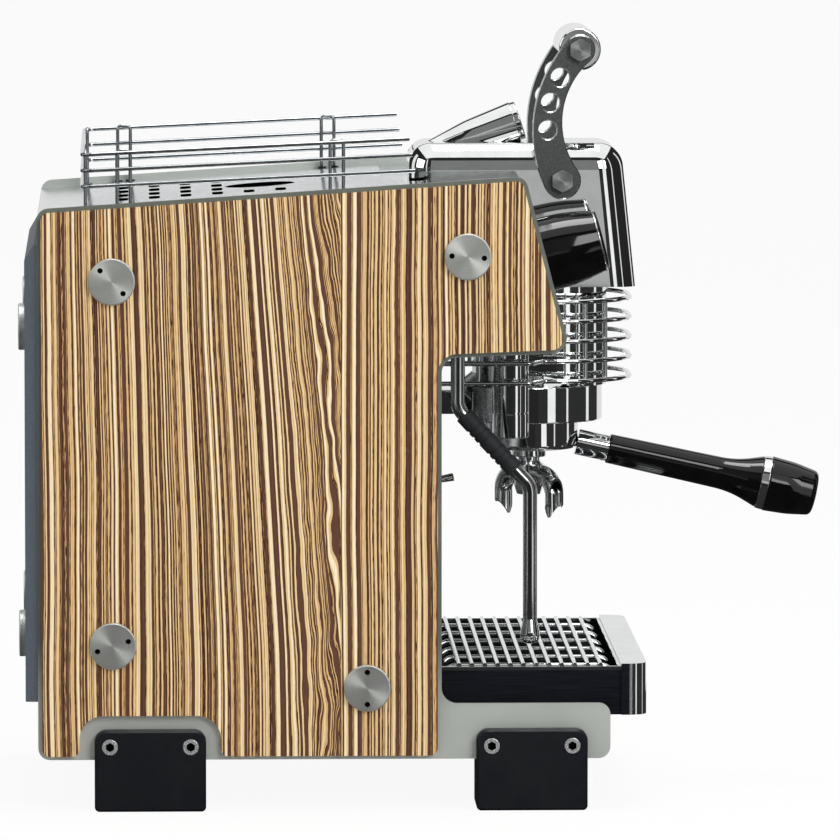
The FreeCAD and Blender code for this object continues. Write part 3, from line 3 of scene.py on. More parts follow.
import bpy
import numpy as np
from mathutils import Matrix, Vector


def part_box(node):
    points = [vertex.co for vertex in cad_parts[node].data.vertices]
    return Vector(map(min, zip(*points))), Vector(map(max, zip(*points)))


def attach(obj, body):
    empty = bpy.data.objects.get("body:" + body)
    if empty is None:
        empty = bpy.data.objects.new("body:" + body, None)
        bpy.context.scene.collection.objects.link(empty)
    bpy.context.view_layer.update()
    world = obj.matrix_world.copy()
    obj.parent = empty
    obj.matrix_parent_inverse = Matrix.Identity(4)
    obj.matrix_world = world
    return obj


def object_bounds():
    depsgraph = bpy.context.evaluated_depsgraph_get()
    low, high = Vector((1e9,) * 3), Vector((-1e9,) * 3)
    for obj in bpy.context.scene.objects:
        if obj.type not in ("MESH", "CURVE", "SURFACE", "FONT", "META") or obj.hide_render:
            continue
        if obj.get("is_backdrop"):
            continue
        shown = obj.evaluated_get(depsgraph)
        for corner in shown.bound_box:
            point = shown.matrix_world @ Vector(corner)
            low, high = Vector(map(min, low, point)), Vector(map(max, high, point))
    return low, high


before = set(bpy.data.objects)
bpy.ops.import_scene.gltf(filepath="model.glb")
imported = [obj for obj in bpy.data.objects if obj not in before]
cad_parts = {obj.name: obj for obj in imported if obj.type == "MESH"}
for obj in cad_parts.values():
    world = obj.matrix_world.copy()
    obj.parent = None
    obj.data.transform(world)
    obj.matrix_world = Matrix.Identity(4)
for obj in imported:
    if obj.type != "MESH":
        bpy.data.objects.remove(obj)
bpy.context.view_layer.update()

# Side frames: two plates in the outline of the case that carry everything else.
# Laser-cut 3 mm steel, blasted to a fine satin; the cut edge is a shade more olive than the face.
# Above the feet, the rim of the outer face that shows round the panel fades upwards into the edge tone:
# painted shade.


def shade(code):
    """Linear colour of a #rrggbb paint code."""
    parts = np.array([int(code[i:i + 2], 16) for i in (1, 3, 5)]) / 255
    linear = np.where(parts > 0.04045, ((parts + 0.055) / 1.055) ** 2.4, parts / 12.92)
    return (*linear.tolist(), 1.0)


def new_finish(name, constants):
    """Material with one shader, whose own sockets take the values that are the same all over."""
    finish = bpy.data.materials.new(name)
    finish.use_nodes = True
    for socket, value in constants.items():
        finish.node_tree.nodes["Principled BSDF"].inputs[socket].default_value = value
    return finish


def add(finish, kind, inputs, **settings):
    """One more node: a socket given as an input is linked, any other value is set."""
    made = finish.node_tree.nodes.new(kind)
    for name, value in settings.items():
        setattr(made, name, value)
    for key, value in inputs.items():
        if isinstance(value, bpy.types.NodeSocket):
            finish.node_tree.links.new(value, made.inputs[key])
        else:
            made.inputs[key].default_value = value
    return made


def feed(finish, socket, value):
    """Lead a computed value into the shader."""
    finish.node_tree.links.new(value, finish.node_tree.nodes["Principled BSDF"].inputs[socket])


def place_mm(finish, stretch=(1.0, 1.0, 1.0)):
    """Place on the piece in millimetres, times a stretch along X, Y and Z."""
    place = add(finish, "ShaderNodeTexCoord", {})
    scale = [1000 * part for part in stretch]
    return add(finish, "ShaderNodeMapping", {"Vector": place.outputs["Object"], "Scale": scale}).outputs[0]


def cloud(finish, stretch, detail=2.0):
    """Soft random value, with so many waves a millimetre along X, Y and Z."""
    return add(finish, "ShaderNodeTexNoise", {
        "Vector": place_mm(finish, stretch), "Scale": 1.0, "Detail": detail, "Roughness": 0.55}).outputs[0]


def tones(finish, value, stops):
    """Colours along a value, from (place, paint code) stops."""
    band = add(finish, "ShaderNodeValToRGB", {"Fac": value})
    ramp = band.color_ramp
    while len(ramp.elements) < len(stops):
        ramp.elements.new(0.5)
    for element, (place, code) in zip(ramp.elements, stops):
        element.position = place
        element.color = shade(code)
    return band.outputs["Color"]


def between(finish, value, low, high, start=0.3, end=0.7):
    """A value from start to end, carried over to low and high."""
    return add(finish, "ShaderNodeMapRange", {
        "Value": value, "From Min": start, "From Max": end, "To Min": low, "To Max": high}).outputs[0]


def relief(finish, height, depth_mm):
    """Surface relief of a depth in millimetres."""
    bump = add(finish, "ShaderNodeBump", {"Height": height, "Distance": depth_mm / 1000, "Strength": 1.0})
    feed(finish, "Normal", bump.outputs["Normal"])


def dress(finish, *nodes):
    """Put a finish on CAD nodes, in their own material slots."""
    for name in nodes:
        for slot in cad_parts[name].material_slots:
            slot.material = finish


def worked(finish, operation, *values):
    """Result of one step of arithmetic on sockets or numbers."""
    return add(finish, "ShaderNodeMath", dict(enumerate(values)), operation=operation).outputs[0]


def facing(finish, axis):
    """How far a face turns to one of the axes, from 0 edge-on to 1 square."""
    normal = add(finish, "ShaderNodeNewGeometry", {}).outputs["Normal"]
    part = add(finish, "ShaderNodeSeparateXYZ", {"Vector": normal}).outputs[axis]
    return worked(finish, "ABSOLUTE", part)


def spot_mm(finish):
    """Sockets of the place on the piece along X, Y and Z, in millimetres."""
    return add(finish, "ShaderNodeSeparateXYZ", {"Vector": place_mm(finish)}).outputs


def mixed(finish, share, first, second, kind="RGBA"):
    """First and second by a share; kind RGBA is for colours, FLOAT for numbers."""
    mix = add(finish, "ShaderNodeMix", {}, data_type=kind)
    ends = [socket for socket in mix.inputs if socket.enabled]
    for socket, value in zip(ends, (share, first, second)):
        if isinstance(value, bpy.types.NodeSocket):
            finish.node_tree.links.new(value, socket)
        else:
            socket.default_value = value
    return [socket for socket in mix.outputs if socket.enabled][0]


rim_pale, rim_dark = 62.0, 105.0
rim_depth = 0.88
face_skin = 1.0
frame_outer = 1000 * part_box("side_frame_right")[1].x
satin_steel = new_finish("satin_frame_steel", {"Metallic": 0.4})
blast_grain = cloud(satin_steel, (2.2, 2.2, 2.2), detail=3.0)
plate_face = tones(satin_steel, blast_grain, [(0.3, "#bcc1bb"), (0.7, "#cbd0ca")])
cut_edge_and_rim_shade = tones(satin_steel, blast_grain, [(0.3, "#5b635a"), (0.7, "#6e766d")])
flat_share = between(satin_steel, facing(satin_steel, "X"), 0.0, 1.0, start=0.6, end=0.9)
frame_spot = spot_mm(satin_steel)
frame_out = worked(satin_steel, "ABSOLUTE", frame_spot["X"])
outward = worked(satin_steel, "GREATER_THAN", frame_out, frame_outer - face_skin)
# Painted shade: from 62 to 105 mm up, the outermost face darkens into the edge tone.
rim_painted_shade = between(satin_steel, frame_spot["Z"], 0.0, rim_depth, start=rim_pale, end=rim_dark)
rim_painted_shade = worked(satin_steel, "MULTIPLY", rim_painted_shade, outward)
pale_share = worked(satin_steel, "MULTIPLY", flat_share, worked(satin_steel, "SUBTRACT", 1.0, rim_painted_shade))
feed(satin_steel, "Base Color", mixed(satin_steel, pale_share, cut_edge_and_rim_shade, plate_face))
feed(satin_steel, "Roughness", between(satin_steel, cloud(satin_steel, (0.02, 0.02, 0.02)), 0.36, 0.48))
relief(satin_steel, blast_grain, 0.012)
dress(satin_steel, "side_frame_left", "side_frame_right")

# Wood panels: zebra wood veneer on board, cut to follow the frames with an arch over the rear foot.
# Two leaves of veneer meet in an upright joint.
# The rear leaf has leaning figure; the front one runs straight.

leaf_joint = 53.8
rear_edge = 238.6
lean_start = 60.0
lean_low, lean_growth = 0.03, 0.00021
figure_reach = 40.0
least_lean = 0.2
wide_waves, fine_waves, hair_waves = 0.30, 0.75, 2.1
wide_start, fine_start, hair_start = 0.0, 400.0, 900.0
fine_share, hair_share = 0.42, 0.16
pore_weight = 0.13
joint_shade = -0.03

zebra_wood = new_finish("zebra_wood_veneer", {"Specular IOR Level": 0.12})
spot = spot_mm(zebra_wood)
rear_leaf = worked(zebra_wood, "GREATER_THAN", spot["Y"], leaf_joint)
nearness = between(zebra_wood, spot["Y"], 1.0, least_lean, start=leaf_joint, end=rear_edge)
lean_share = worked(zebra_wood, "MULTIPLY", worked(zebra_wood, "POWER", nearness, 2.0), rear_leaf)
climb = worked(zebra_wood, "SUBTRACT", spot["Z"], lean_start)
curved = worked(zebra_wood, "MULTIPLY_ADD", worked(zebra_wood, "POWER", climb, 2.0), lean_growth,
                worked(zebra_wood, "MULTIPLY", spot["Z"], lean_low))
by_joint = between(zebra_wood, spot["Y"], 1.0, 0.0, start=leaf_joint, end=leaf_joint + figure_reach)
by_joint = worked(zebra_wood, "MULTIPLY", by_joint, rear_leaf)
sway = between(zebra_wood, cloud(zebra_wood, (0.0, 0.012, 0.008), detail=1.0), -0.9, 0.9)
swirl = between(zebra_wood, cloud(zebra_wood, (0.0, 0.06, 0.02), detail=2.0), -3.0, 3.0)
across = worked(zebra_wood, "SUBTRACT", spot["Y"], worked(zebra_wood, "MULTIPLY", curved, lean_share))
across = worked(zebra_wood, "MULTIPLY_ADD", swirl, by_joint, worked(zebra_wood, "ADD", across, sway))


def ring_band(waves, start):
    """Random value along the growth rings only: so many waves a millimetre, from a start of its own."""
    ring = worked(zebra_wood, "ADD", across, start)
    return add(zebra_wood, "ShaderNodeTexNoise", {
        "W": ring, "Scale": waves, "Detail": 0.0}, noise_dimensions="1D").outputs[0]


wide_bands = ring_band(wide_waves, wide_start)
bands = mixed(zebra_wood, fine_share, wide_bands, ring_band(fine_waves, fine_start), kind="FLOAT")
bands = mixed(zebra_wood, hair_share, bands, ring_band(hair_waves, hair_start), kind="FLOAT")
pores = cloud(zebra_wood, (1.5, 1.5, 0.11), detail=2.0)
ragged = worked(zebra_wood, "MULTIPLY_ADD", pores, pore_weight, bands)
ragged = worked(zebra_wood, "MULTIPLY_ADD", by_joint, joint_shade, ragged)
stripe = tones(zebra_wood, ragged, [
    (0.45, "#5f4032"), (0.515, "#4a2d20"), (0.538, "#331c12"), (0.546, "#150905"), (0.554, "#8a5c3c"),
    (0.566, "#c9a06a"), (0.62, "#dab783"), (0.69, "#e6d0a4"), (0.77, "#f0e3c4")])
pore_share = between(zebra_wood, pores, 0.0, 0.4, start=0.6, end=0.75)
feed(zebra_wood, "Base Color", mixed(zebra_wood, pore_share, stripe, shade("#94704d")))
feed(zebra_wood, "Roughness", between(zebra_wood, pores, 0.42, 0.54))
relief(zebra_wood, pores, 0.02)
dress(zebra_wood, "wood_panel_left", "wood_panel_right")

# Cap discs: the turned heads that clamp the panels and the rear cover, with two holes for a pin spanner.
# Faced stainless bar, so fine grooves run round each centre and the light fans out from it.

cap_seats = [(195.0, 329.0), (-24.8, 344.0), (194.8, 103.2), (37.5, 76.6)]
rear_cap_side = 118.0
rear_cap_heights = (108.0, 299.0)
panel_face = 1000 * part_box("wood_panel_right")[1].x
cover_back = 1000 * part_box("rear_cover")[1].y


def turned_marks(finish, centres):
    """Lead the grain round the nearest of the given centres (millimetres); gives the distance from it."""
    spot = place_mm(finish)
    nearest = None
    for centre in centres:
        way = add(finish, "ShaderNodeVectorMath", {0: spot, 1: centre}, operation="SUBTRACT").outputs[0]
        reach = add(finish, "ShaderNodeVectorMath", {0: way}, operation="LENGTH").outputs["Value"]
        if nearest is None:
            nearest, least = way, reach
            continue
        nearest = mixed(finish, worked(finish, "LESS_THAN", reach, least), nearest, way, kind="VECTOR")
        least = worked(finish, "MINIMUM", reach, least)
    normal = add(finish, "ShaderNodeNewGeometry", {}).outputs["True Normal"]
    round_way = add(finish, "ShaderNodeVectorMath", {0: normal, 1: nearest}, operation="CROSS_PRODUCT")
    unit = add(finish, "ShaderNodeVectorMath", {0: round_way.outputs[0]}, operation="NORMALIZE")
    feed(finish, "Tangent", unit.outputs[0])
    return least


def groove_lines(finish, distance):
    """Random value that changes with the distance from the centre only, as a turning tool leaves it."""
    return add(finish, "ShaderNodeTexNoise", {
        "W": distance, "Scale": 2.5, "Detail": 3.0}, noise_dimensions="1D").outputs[0]


cap_face = 1000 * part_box("cap_discs")[1].x
hole_ring = 12.6
hole_start, hole_shade = 0.3, 1.2
spun_steel = new_finish("spun_cap_steel", {"Metallic": 0.8, "Anisotropic": 0.8})
cap_centres = [(side * panel_face, y, z) for side in (-1, 1) for y, z in cap_seats]
cap_centres += [(side * rear_cap_side, cover_back, z) for side in (-1, 1) for z in rear_cap_heights]
cap_reach = turned_marks(spun_steel, cap_centres)
cap_grooves = groove_lines(spun_steel, cap_reach)
cap_out = worked(spun_steel, "ABSOLUTE", spot_mm(spun_steel)["X"])
# Painted shade: the pin holes are painted near-black from just under the face down; the same mask blackens
# the middle of the rear caps' faces.
sunk = between(spun_steel, cap_out, 1.0, 0.0, start=cap_face - hole_shade, end=cap_face - hole_start)
hole_painted_shade = worked(spun_steel, "MULTIPLY", sunk, worked(spun_steel, "LESS_THAN", cap_reach, hole_ring))
cap_tone = tones(spun_steel, cap_grooves, [(0.3, "#c6c9c4"), (0.7, "#dfe1dc")])
feed(spun_steel, "Base Color", mixed(spun_steel, hole_painted_shade, cap_tone, shade("#0b0b0c")))
feed(spun_steel, "Roughness", between(spun_steel, cap_grooves, 0.28, 0.4))
dress(spun_steel, "cap_discs")

# Feet: solid blocks whose lip laps the side frame, with their long edges bevelled.
# Anodised aluminium in a soft near-black.

foot_black = new_finish("foot_black", {"Metallic": 0.0, "Specular IOR Level": 0.25})
foot_grain = cloud(foot_black, (1.1, 1.1, 1.1), detail=4.0)
feed(foot_black, "Base Color", tones(foot_black, foot_grain, [(0.3, "#101317"), (0.7, "#181c21")]))
feed(foot_black, "Roughness", between(foot_black, cloud(foot_black, (0.05, 0.05, 0.05)), 0.34, 0.46))
relief(foot_black, foot_grain, 0.01)
dress(foot_black, "feet")

# Foot screws: socket head cap screws that hold the feet through the side frames.
# Bright zinc steel with a hexagon socket.

socket_start, socket_shade = 0.5, 0.8
zinc_steel = new_finish("zinc_screw_steel", {"Metallic": 0.7})
zinc_bloom = cloud(zinc_steel, (0.7, 0.7, 0.7), detail=3.0)
screw_face = 1000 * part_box("foot_screws")[1].x
# Painted shade: the hexagon socket is painted near-black from just under the head's face down.
screw_out = worked(zinc_steel, "ABSOLUTE", spot_mm(zinc_steel)["X"])
socket_painted_shade = between(
    zinc_steel, screw_out, 1.0, 0.0, start=screw_face - socket_shade, end=screw_face - socket_start)
zinc_tone = tones(zinc_steel, zinc_bloom, [(0.3, "#d3d5d6"), (0.7, "#eff0f0")])
feed(zinc_steel, "Base Color", mixed(zinc_steel, socket_painted_shade, zinc_tone, shade("#0a0a0b")))
feed(zinc_steel, "Roughness", between(zinc_steel, zinc_bloom, 0.2, 0.32))
dress(zinc_steel, "foot_screws")

# Sheet metal of the case: base pan, front fascia, slanted fascia, tank shelf and boiler stand.
# Folded stainless sheet between the side frames, brushed across the machine.

sheet_steel = new_finish("brushed_sheet_steel", {"Metallic": 1.0, "Anisotropic": 0.5})
brush_lines = cloud(sheet_steel, (0.03, 3.0, 3.0), detail=3.0)
feed(sheet_steel, "Base Color", tones(sheet_steel, brush_lines, [(0.3, "#c3c6c7"), (0.7, "#dadcdc")]))
feed(sheet_steel, "Roughness", between(sheet_steel, brush_lines, 0.16, 0.28))
relief(sheet_steel, brush_lines, 0.004)
dress(sheet_steel, "base_pan", "front_fascia", "upper_fascia", "tank_shelf", "boiler_stand")

# Deck and cup tray: the folded top between the side frames and the slotted plate that lies on it.
# Stainless sheet with a bright mill finish.
# The walls of the punched slots and the finger hole, and every other face that is not level, are painted
# near-black as shade.

deck_steel = new_finish("bright_deck_steel", {"Metallic": 1.0})
mill_lines = cloud(deck_steel, (0.02, 2.4, 2.4), detail=3.0)
mill_tone = tones(deck_steel, mill_lines, [(0.3, "#c9cdd0"), (0.7, "#e2e5e6")])
# Painted shade: faces turned away from level take a near-black colour.
level_unshaded = between(deck_steel, facing(deck_steel, "Z"), 0.0, 1.0, start=0.4, end=0.7)
feed(deck_steel, "Base Color", mixed(deck_steel, level_unshaded, shade("#0d0e10"), mill_tone))
feed(deck_steel, "Roughness", between(deck_steel, mill_lines, 0.1, 0.2))
relief(deck_steel, mill_lines, 0.003)
dress(deck_steel, "top_deck", "cup_tray")

# Rear cover: a shallow folded panel with a bevelled top, held by four turned caps.
# Steel with a slate-coloured powder coat, which dries to a fine orange-peel grain.

slate_coat = new_finish("slate_powder_coat", {"Metallic": 0.0})
peel = cloud(slate_coat, (1.4, 1.4, 1.4), detail=4.0)
feed(slate_coat, "Base Color", tones(slate_coat, peel, [(0.3, "#414a54"), (0.7, "#566069")]))
feed(slate_coat, "Roughness", between(slate_coat, peel, 0.5, 0.66))
relief(slate_coat, peel, 0.06)
dress(slate_coat, "rear_cover")

# Cup rail: three bent wires on double posts round the top, each post foot in a small collar.
# Stainless rod, welded and polished bright.


def polished(name, dull, bright, low, high):
    """Mirror metal: two near tones and a roughness that drifts as hand polishing leaves it."""
    metal = new_finish(name, {"Metallic": 1.0})
    drift = cloud(metal, (0.06, 0.06, 0.06), detail=3.0)
    feed(metal, "Base Color", tones(metal, drift, [(0.3, dull), (0.7, bright)]))
    feed(metal, "Roughness", between(metal, drift, low, high))
    return metal


rail_steel = polished("polished_wire", "#9b9fa1", "#b4b8ba", 0.04, 0.1)
dress(rail_steel, "cup_rail")

# Chromed pieces: gauge body and bezel, lever roller, group, hot water outlet, portafilter and wire guard.
# Cast, turned or bent from wire, then buffed and plated.

chrome = polished("mirror_chrome", "#e6e8e8", "#f4f5f5", 0.015, 0.045)
dress(chrome, "gauge_housing", "gauge_bezel", "lever_roller", "group_body", "group_bell",
      "water_outlet", "portafilter", "handle_ring", "twin_spout", "wire_guard")

# Group hood: the pressed cover over the group, chrome plated.
# Buffing draws the plated edges out, so the sides pass softly into the front, top and rear.
# The lean of the surface follows the distance to each edge.

hood_lean = math.radians(5.8)
shoulder = 17.0
hood_low, hood_high = (1000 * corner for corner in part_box("group_hood"))
hood_chrome = polished("hood_chrome", "#e6e8e8", "#f4f5f5", 0.02, 0.05)
spot = spot_mm(hood_chrome)
rise = worked(hood_chrome, "SUBTRACT", spot["Z"], hood_low.z)
front_line = worked(hood_chrome, "MULTIPLY_ADD", rise, math.tan(hood_lean), hood_low.y)
from_front = worked(hood_chrome, "SUBTRACT", spot["Y"], front_line)
to_side = between(hood_chrome, worked(hood_chrome, "ABSOLUTE", spot["X"]), 0.0, 1.0,
                  start=hood_high.x - shoulder, end=hood_high.x)
to_front = between(hood_chrome, from_front, 1.0, 0.0, start=0.0, end=shoulder)
to_rear = between(hood_chrome, spot["Y"], 0.0, 1.0, start=hood_high.y - shoulder, end=hood_high.y)
to_top = between(hood_chrome, spot["Z"], 0.0, 1.0, start=hood_high.z - shoulder, end=hood_high.z)
turned_out = add(hood_chrome, "ShaderNodeCombineXYZ", {
    "X": worked(hood_chrome, "MULTIPLY", to_side, worked(hood_chrome, "SIGN", spot["X"])),
    "Y": worked(hood_chrome, "MULTIPLY_ADD", to_front, -math.cos(hood_lean), to_rear),
    "Z": worked(hood_chrome, "MULTIPLY_ADD", to_front, math.sin(hood_lean), to_top)}).outputs[0]
feed(hood_chrome, "Normal", add(
    hood_chrome, "ShaderNodeVectorMath", {0: turned_out}, operation="NORMALIZE").outputs[0])
dress(hood_chrome, "group_hood")

# Gauge dial: the white plate behind the glass with its pressure scale round three quarters of a turn.
# Enamelled sheet with printed black marks and figures.

dial_tilt = math.radians(19.0)
dial_out = np.array([0.0, -math.cos(dial_tilt), math.sin(dial_tilt)])
dial_up = np.array([0.0, math.sin(dial_tilt), math.cos(dial_tilt)])
dial_right = np.array([1.0, 0.0, 0.0])
dial_low, dial_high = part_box("gauge_dial")
dial_middle = np.array((dial_low + dial_high) / 2)
print_lift = 0.00055
dial_face = dial_middle + dial_out * print_lift
scale_start, scale_end = math.radians(-135.0), math.radians(135.0)
mark_count = 33
long_every = 4
mark_outer = 0.0098
mark_width = 0.00028
long_mark, short_mark = 0.0017, 0.0010
figures = ("0", "4", "8", "12", "16")
figure_size = 0.0026
figure_ring = 0.0064


def dial_points(flat):
    """Points of the dial plane from (right, up) offsets in metres."""
    return dial_face + flat[..., :1] * dial_right + flat[..., 1:] * dial_up


def flat_piece(name, points, faces):
    """Mesh object from points and faces, at the origin."""
    mesh = bpy.data.meshes.new(name)
    mesh.from_pydata(points.tolist(), [], faces)
    piece = bpy.data.objects.new(name, mesh)
    bpy.context.scene.collection.objects.link(piece)
    return piece


angles = np.linspace(scale_start, scale_end, mark_count)
lengths = np.where(np.arange(mark_count) % long_every == 0, long_mark, short_mark)
ray = np.stack([np.sin(angles), np.cos(angles)], axis=-1)
aside = np.stack([np.cos(angles), -np.sin(angles)], axis=-1) * mark_width / 2
inner = ray * (mark_outer - lengths)[:, None]
outer = ray * mark_outer
quads = np.stack([inner - aside, outer - aside, outer + aside, inner + aside], axis=1).reshape(-1, 2)
mark_points = [dial_points(quads)]
mark_faces = [list(range(4 * i, 4 * i + 4)) for i in range(mark_count)]
for order, words in enumerate(figures):
    curve = bpy.data.curves.new("figure", "FONT")
    curve.body = words
    curve.size = figure_size
    curve.align_x = "CENTER"
    curve.align_y = "CENTER"
    holder = bpy.data.objects.new("figure", curve)
    flat = bpy.data.meshes.new_from_object(holder)
    coordinates = np.zeros(3 * len(flat.vertices), np.float32)
    flat.vertices.foreach_get("co", coordinates)
    angle = scale_start + (scale_end - scale_start) * order / (len(figures) - 1)
    centre = figure_ring * np.array([math.sin(angle), math.cos(angle)])
    base = sum(len(block) for block in mark_points)
    mark_points.append(dial_points(coordinates.reshape(-1, 3)[:, :2] + centre))
    mark_faces += [[base + i for i in polygon.vertices] for polygon in flat.polygons]
    bpy.data.objects.remove(holder)
    bpy.data.curves.remove(curve)
    bpy.data.meshes.remove(flat)
gauge_marks = flat_piece("gauge_marks", np.concatenate(mark_points), mark_faces)
dial_ink = new_finish("dial_ink", {"Metallic": 0.0})
ink_film = cloud(dial_ink, (1.5, 1.5, 1.5))
feed(dial_ink, "Base Color", tones(dial_ink, ink_film, [(0.3, "#121212"), (0.7, "#1e1e1e")]))
feed(dial_ink, "Roughness", between(dial_ink, ink_film, 0.5, 0.6))
gauge_marks.data.materials.append(dial_ink)
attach(gauge_marks, "machine")
dress(dial_ink, "gauge_needle")
enamel = new_finish("dial_enamel", {"Metallic": 0.0})
enamel_film = cloud(enamel, (0.25, 0.25, 0.25))
feed(enamel, "Base Color", tones(enamel, enamel_film, [(0.3, "#e9e8e2"), (0.7, "#f3f2ee")]))
feed(enamel, "Roughness", between(enamel, enamel_film, 0.32, 0.42))
dress(enamel, "gauge_dial")

# Gauge glass: the flat window over the dial, held by the bezel.
# Clear float glass.

window_glass = new_finish("window_glass", {
    "Base Color": (1.0, 1.0, 1.0, 1.0), "Metallic": 0.0, "Transmission Weight": 1.0, "IOR": 1.45})
feed(window_glass, "Roughness", between(window_glass, cloud(window_glass, (0.2, 0.2, 0.2)), 0.0, 0.02))
dress(window_glass, "gauge_glass")

# Lever: two curved plates with lightening holes, joined by a roller at the top and a shaft through the hood.
# Plates water-cut from 5 mm steel with a grained dark coat.
# Cut walls and chamfers are machined bright after it.

gunmetal = new_finish("gunmetal_coat", {})
plate_grain = cloud(gunmetal, (2.4, 2.4, 2.4), detail=4.0)
coat_tone = tones(gunmetal, plate_grain, [(0.28, "#2c3030"), (0.5, "#464a49"), (0.72, "#666b69")])
bare_tone = tones(gunmetal, plate_grain, [(0.3, "#c4c7c6"), (0.7, "#dfe1e0")])
coated = between(gunmetal, facing(gunmetal, "X"), 0.0, 1.0, start=0.9, end=0.97)
feed(gunmetal, "Base Color", mixed(gunmetal, coated, bare_tone, coat_tone))
feed(gunmetal, "Roughness", mixed(gunmetal, coated, 0.22, 0.55, kind="FLOAT"))
feed(gunmetal, "Metallic", mixed(gunmetal, coated, 1.0, 0.35, kind="FLOAT"))
relief(gunmetal, plate_grain, 0.02)
dress(gunmetal, "lever_plate_left", "lever_plate_right")

# Lever bolts: low hexagon heads at both ends of the plates.
# Turned from dark steel, so rings show on each face.

grip_seat = (-99.0, 466.6)
pivot_seat = (-87.8, 384.4)
bolt_face = 1000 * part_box("lever_bolts")[1].x
bolt_steel = new_finish("bolt_steel", {"Metallic": 0.85, "Anisotropic": 0.7})
bolt_centres = [(side * bolt_face, y, z) for side in (-1, 1) for y, z in (grip_seat, pivot_seat)]
bolt_grooves = groove_lines(bolt_steel, turned_marks(bolt_steel, bolt_centres))
feed(bolt_steel, "Base Color", tones(bolt_steel, bolt_grooves, [(0.3, "#7b7f7e"), (0.7, "#a9adac")]))
feed(bolt_steel, "Roughness", between(bolt_steel, bolt_grooves, 0.25, 0.4))
dress(bolt_steel, "lever_bolts")

# Knobs: tapering barrel grips for steam and for hot water on the slanted fascia.
# Moulded in high-gloss black, with a thin bright ring let in round the front edge.
# The portafilter's handle and its cap are moulded the same way.

knob_lean = math.radians(14.6)
knob_out = np.array([0.0, -math.cos(knob_lean), math.sin(knob_lean)])
knob_seat = np.array([0.094, -0.07206, 0.3406])
trim_along = 0.0378
trim_radius = 0.01915
trim_wire = 0.0006


def turned_ring(name, centre, axis, radius, wire, turns=96, sides=12):
    """Ring of round section: a circle of the wire's radius, carried round the axis at the ring's radius."""
    side = np.array([1.0, 0.0, 0.0])
    other = np.cross(axis, side)
    around = np.linspace(0, 2 * np.pi, turns, endpoint=False)[:, None, None]
    section = np.linspace(0, 2 * np.pi, sides, endpoint=False)[None, :, None]
    way = np.cos(around) * side + np.sin(around) * other
    points = centre + way * (radius + wire * np.cos(section)) + axis * wire * np.sin(section)
    index = np.arange(turns * sides).reshape(turns, sides)
    ahead = np.roll(index, -1, axis=0)
    faces = np.stack([index, ahead, np.roll(ahead, -1, axis=1), np.roll(index, -1, axis=1)], axis=-1)
    piece = flat_piece(name, points.reshape(-1, 3), faces.reshape(-1, 4).tolist())
    piece.data.shade_smooth()
    return piece


gloss_black = new_finish("gloss_black_moulding", {"Metallic": 0.0, "IOR": 1.46})
moulding = cloud(gloss_black, (0.08, 0.08, 0.08), detail=3.0)
feed(gloss_black, "Base Color", tones(gloss_black, moulding, [(0.3, "#060607"), (0.7, "#0c0c0e")]))
feed(gloss_black, "Roughness", between(gloss_black, moulding, 0.05, 0.1))
dress(gloss_black, "steam_knob", "water_knob", "portafilter_handle", "handle_cap")
for name, side, tap in (("steam_knob_ring", -1, "steam_tap"), ("water_knob_ring", 1, "water_tap")):
    centre = knob_seat * np.array([side, 1, 1]) + knob_out * trim_along
    ring = turned_ring(name, centre, knob_out, trim_radius, trim_wire)
    ring.data.materials.append(chrome)
    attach(ring, tap)

# Steam wand: ball joint, bent tube and tip, with the hidden steel of the group and lever shaft.
# Stainless tube, drawn lengthwise and polished.

wand_steel = polished("polished_wand_steel", "#c8caca", "#dfe0e0", 0.05, 0.1)
dress(wand_steel, "steam_socket", "steam_ball", "steam_pipe", "steam_tip", "filter_basket", "shower_screen",
      "lever_shaft")

# Steam grip and group gasket: the ribbed sleeve that keeps fingers off the hot tube, and the bell's seal.
# Moulded rubber with a dry, slightly dusty face.

rubber = new_finish("dry_rubber", {"Metallic": 0.0, "Specular IOR Level": 0.3})
bloom = cloud(rubber, (1.2, 1.2, 1.2), detail=4.0)
feed(rubber, "Base Color", tones(rubber, bloom, [(0.3, "#1b1d1f"), (0.7, "#2c2f31")]))
feed(rubber, "Roughness", between(rubber, bloom, 0.55, 0.72))
relief(rubber, bloom, 0.03)
dress(rubber, "steam_grip", "group_gasket")

# Power switch: a bat-handled toggle in a round bushing on the front fascia.
# Nickel-plated brass.

nickel = polished("switch_nickel", "#b9b6ae", "#d2d0c9", 0.1, 0.2)
dress(nickel, "switch_body", "toggle_lever")

# Drip tray: a welded box that slides out, with a bright folded rim along its sides and behind its front cap.
# Steel in gloss black over lengthwise brushing, with a polished rim and grid and a chromed front cap.

rim_height = 0.0026
rim_width = 0.0022
rim_proud = 0.0003
rim_bevel = 0.0004
tray_low, tray_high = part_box("drip_tray")
cap_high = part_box("tray_front")[1]


def enamel_tone(finish):
    """Blue-black enamel over steel that was brushed along the tray."""
    return tones(finish, cloud(finish, (2.0, 0.03, 2.0), detail=3.0), [(0.3, "#0d0f13"), (0.7, "#1a1d24")])


tray_black = new_finish("brushed_black_enamel", {"Metallic": 0.0, "Specular IOR Level": 0.22})
feed(tray_black, "Base Color", enamel_tone(tray_black))
feed(tray_black, "Roughness", between(tray_black, cloud(tray_black, (0.05, 0.05, 0.05)), 0.16, 0.28))
dress(tray_black, "drip_tray")
grid_steel = polished("polished_grid", "#d6d9da", "#eceeee", 0.05, 0.12)
dress(grid_steel, "cup_grid")
cap_chrome = polished("tray_cap_chrome", "#dfe2e3", "#f0f1f1", 0.02, 0.06)
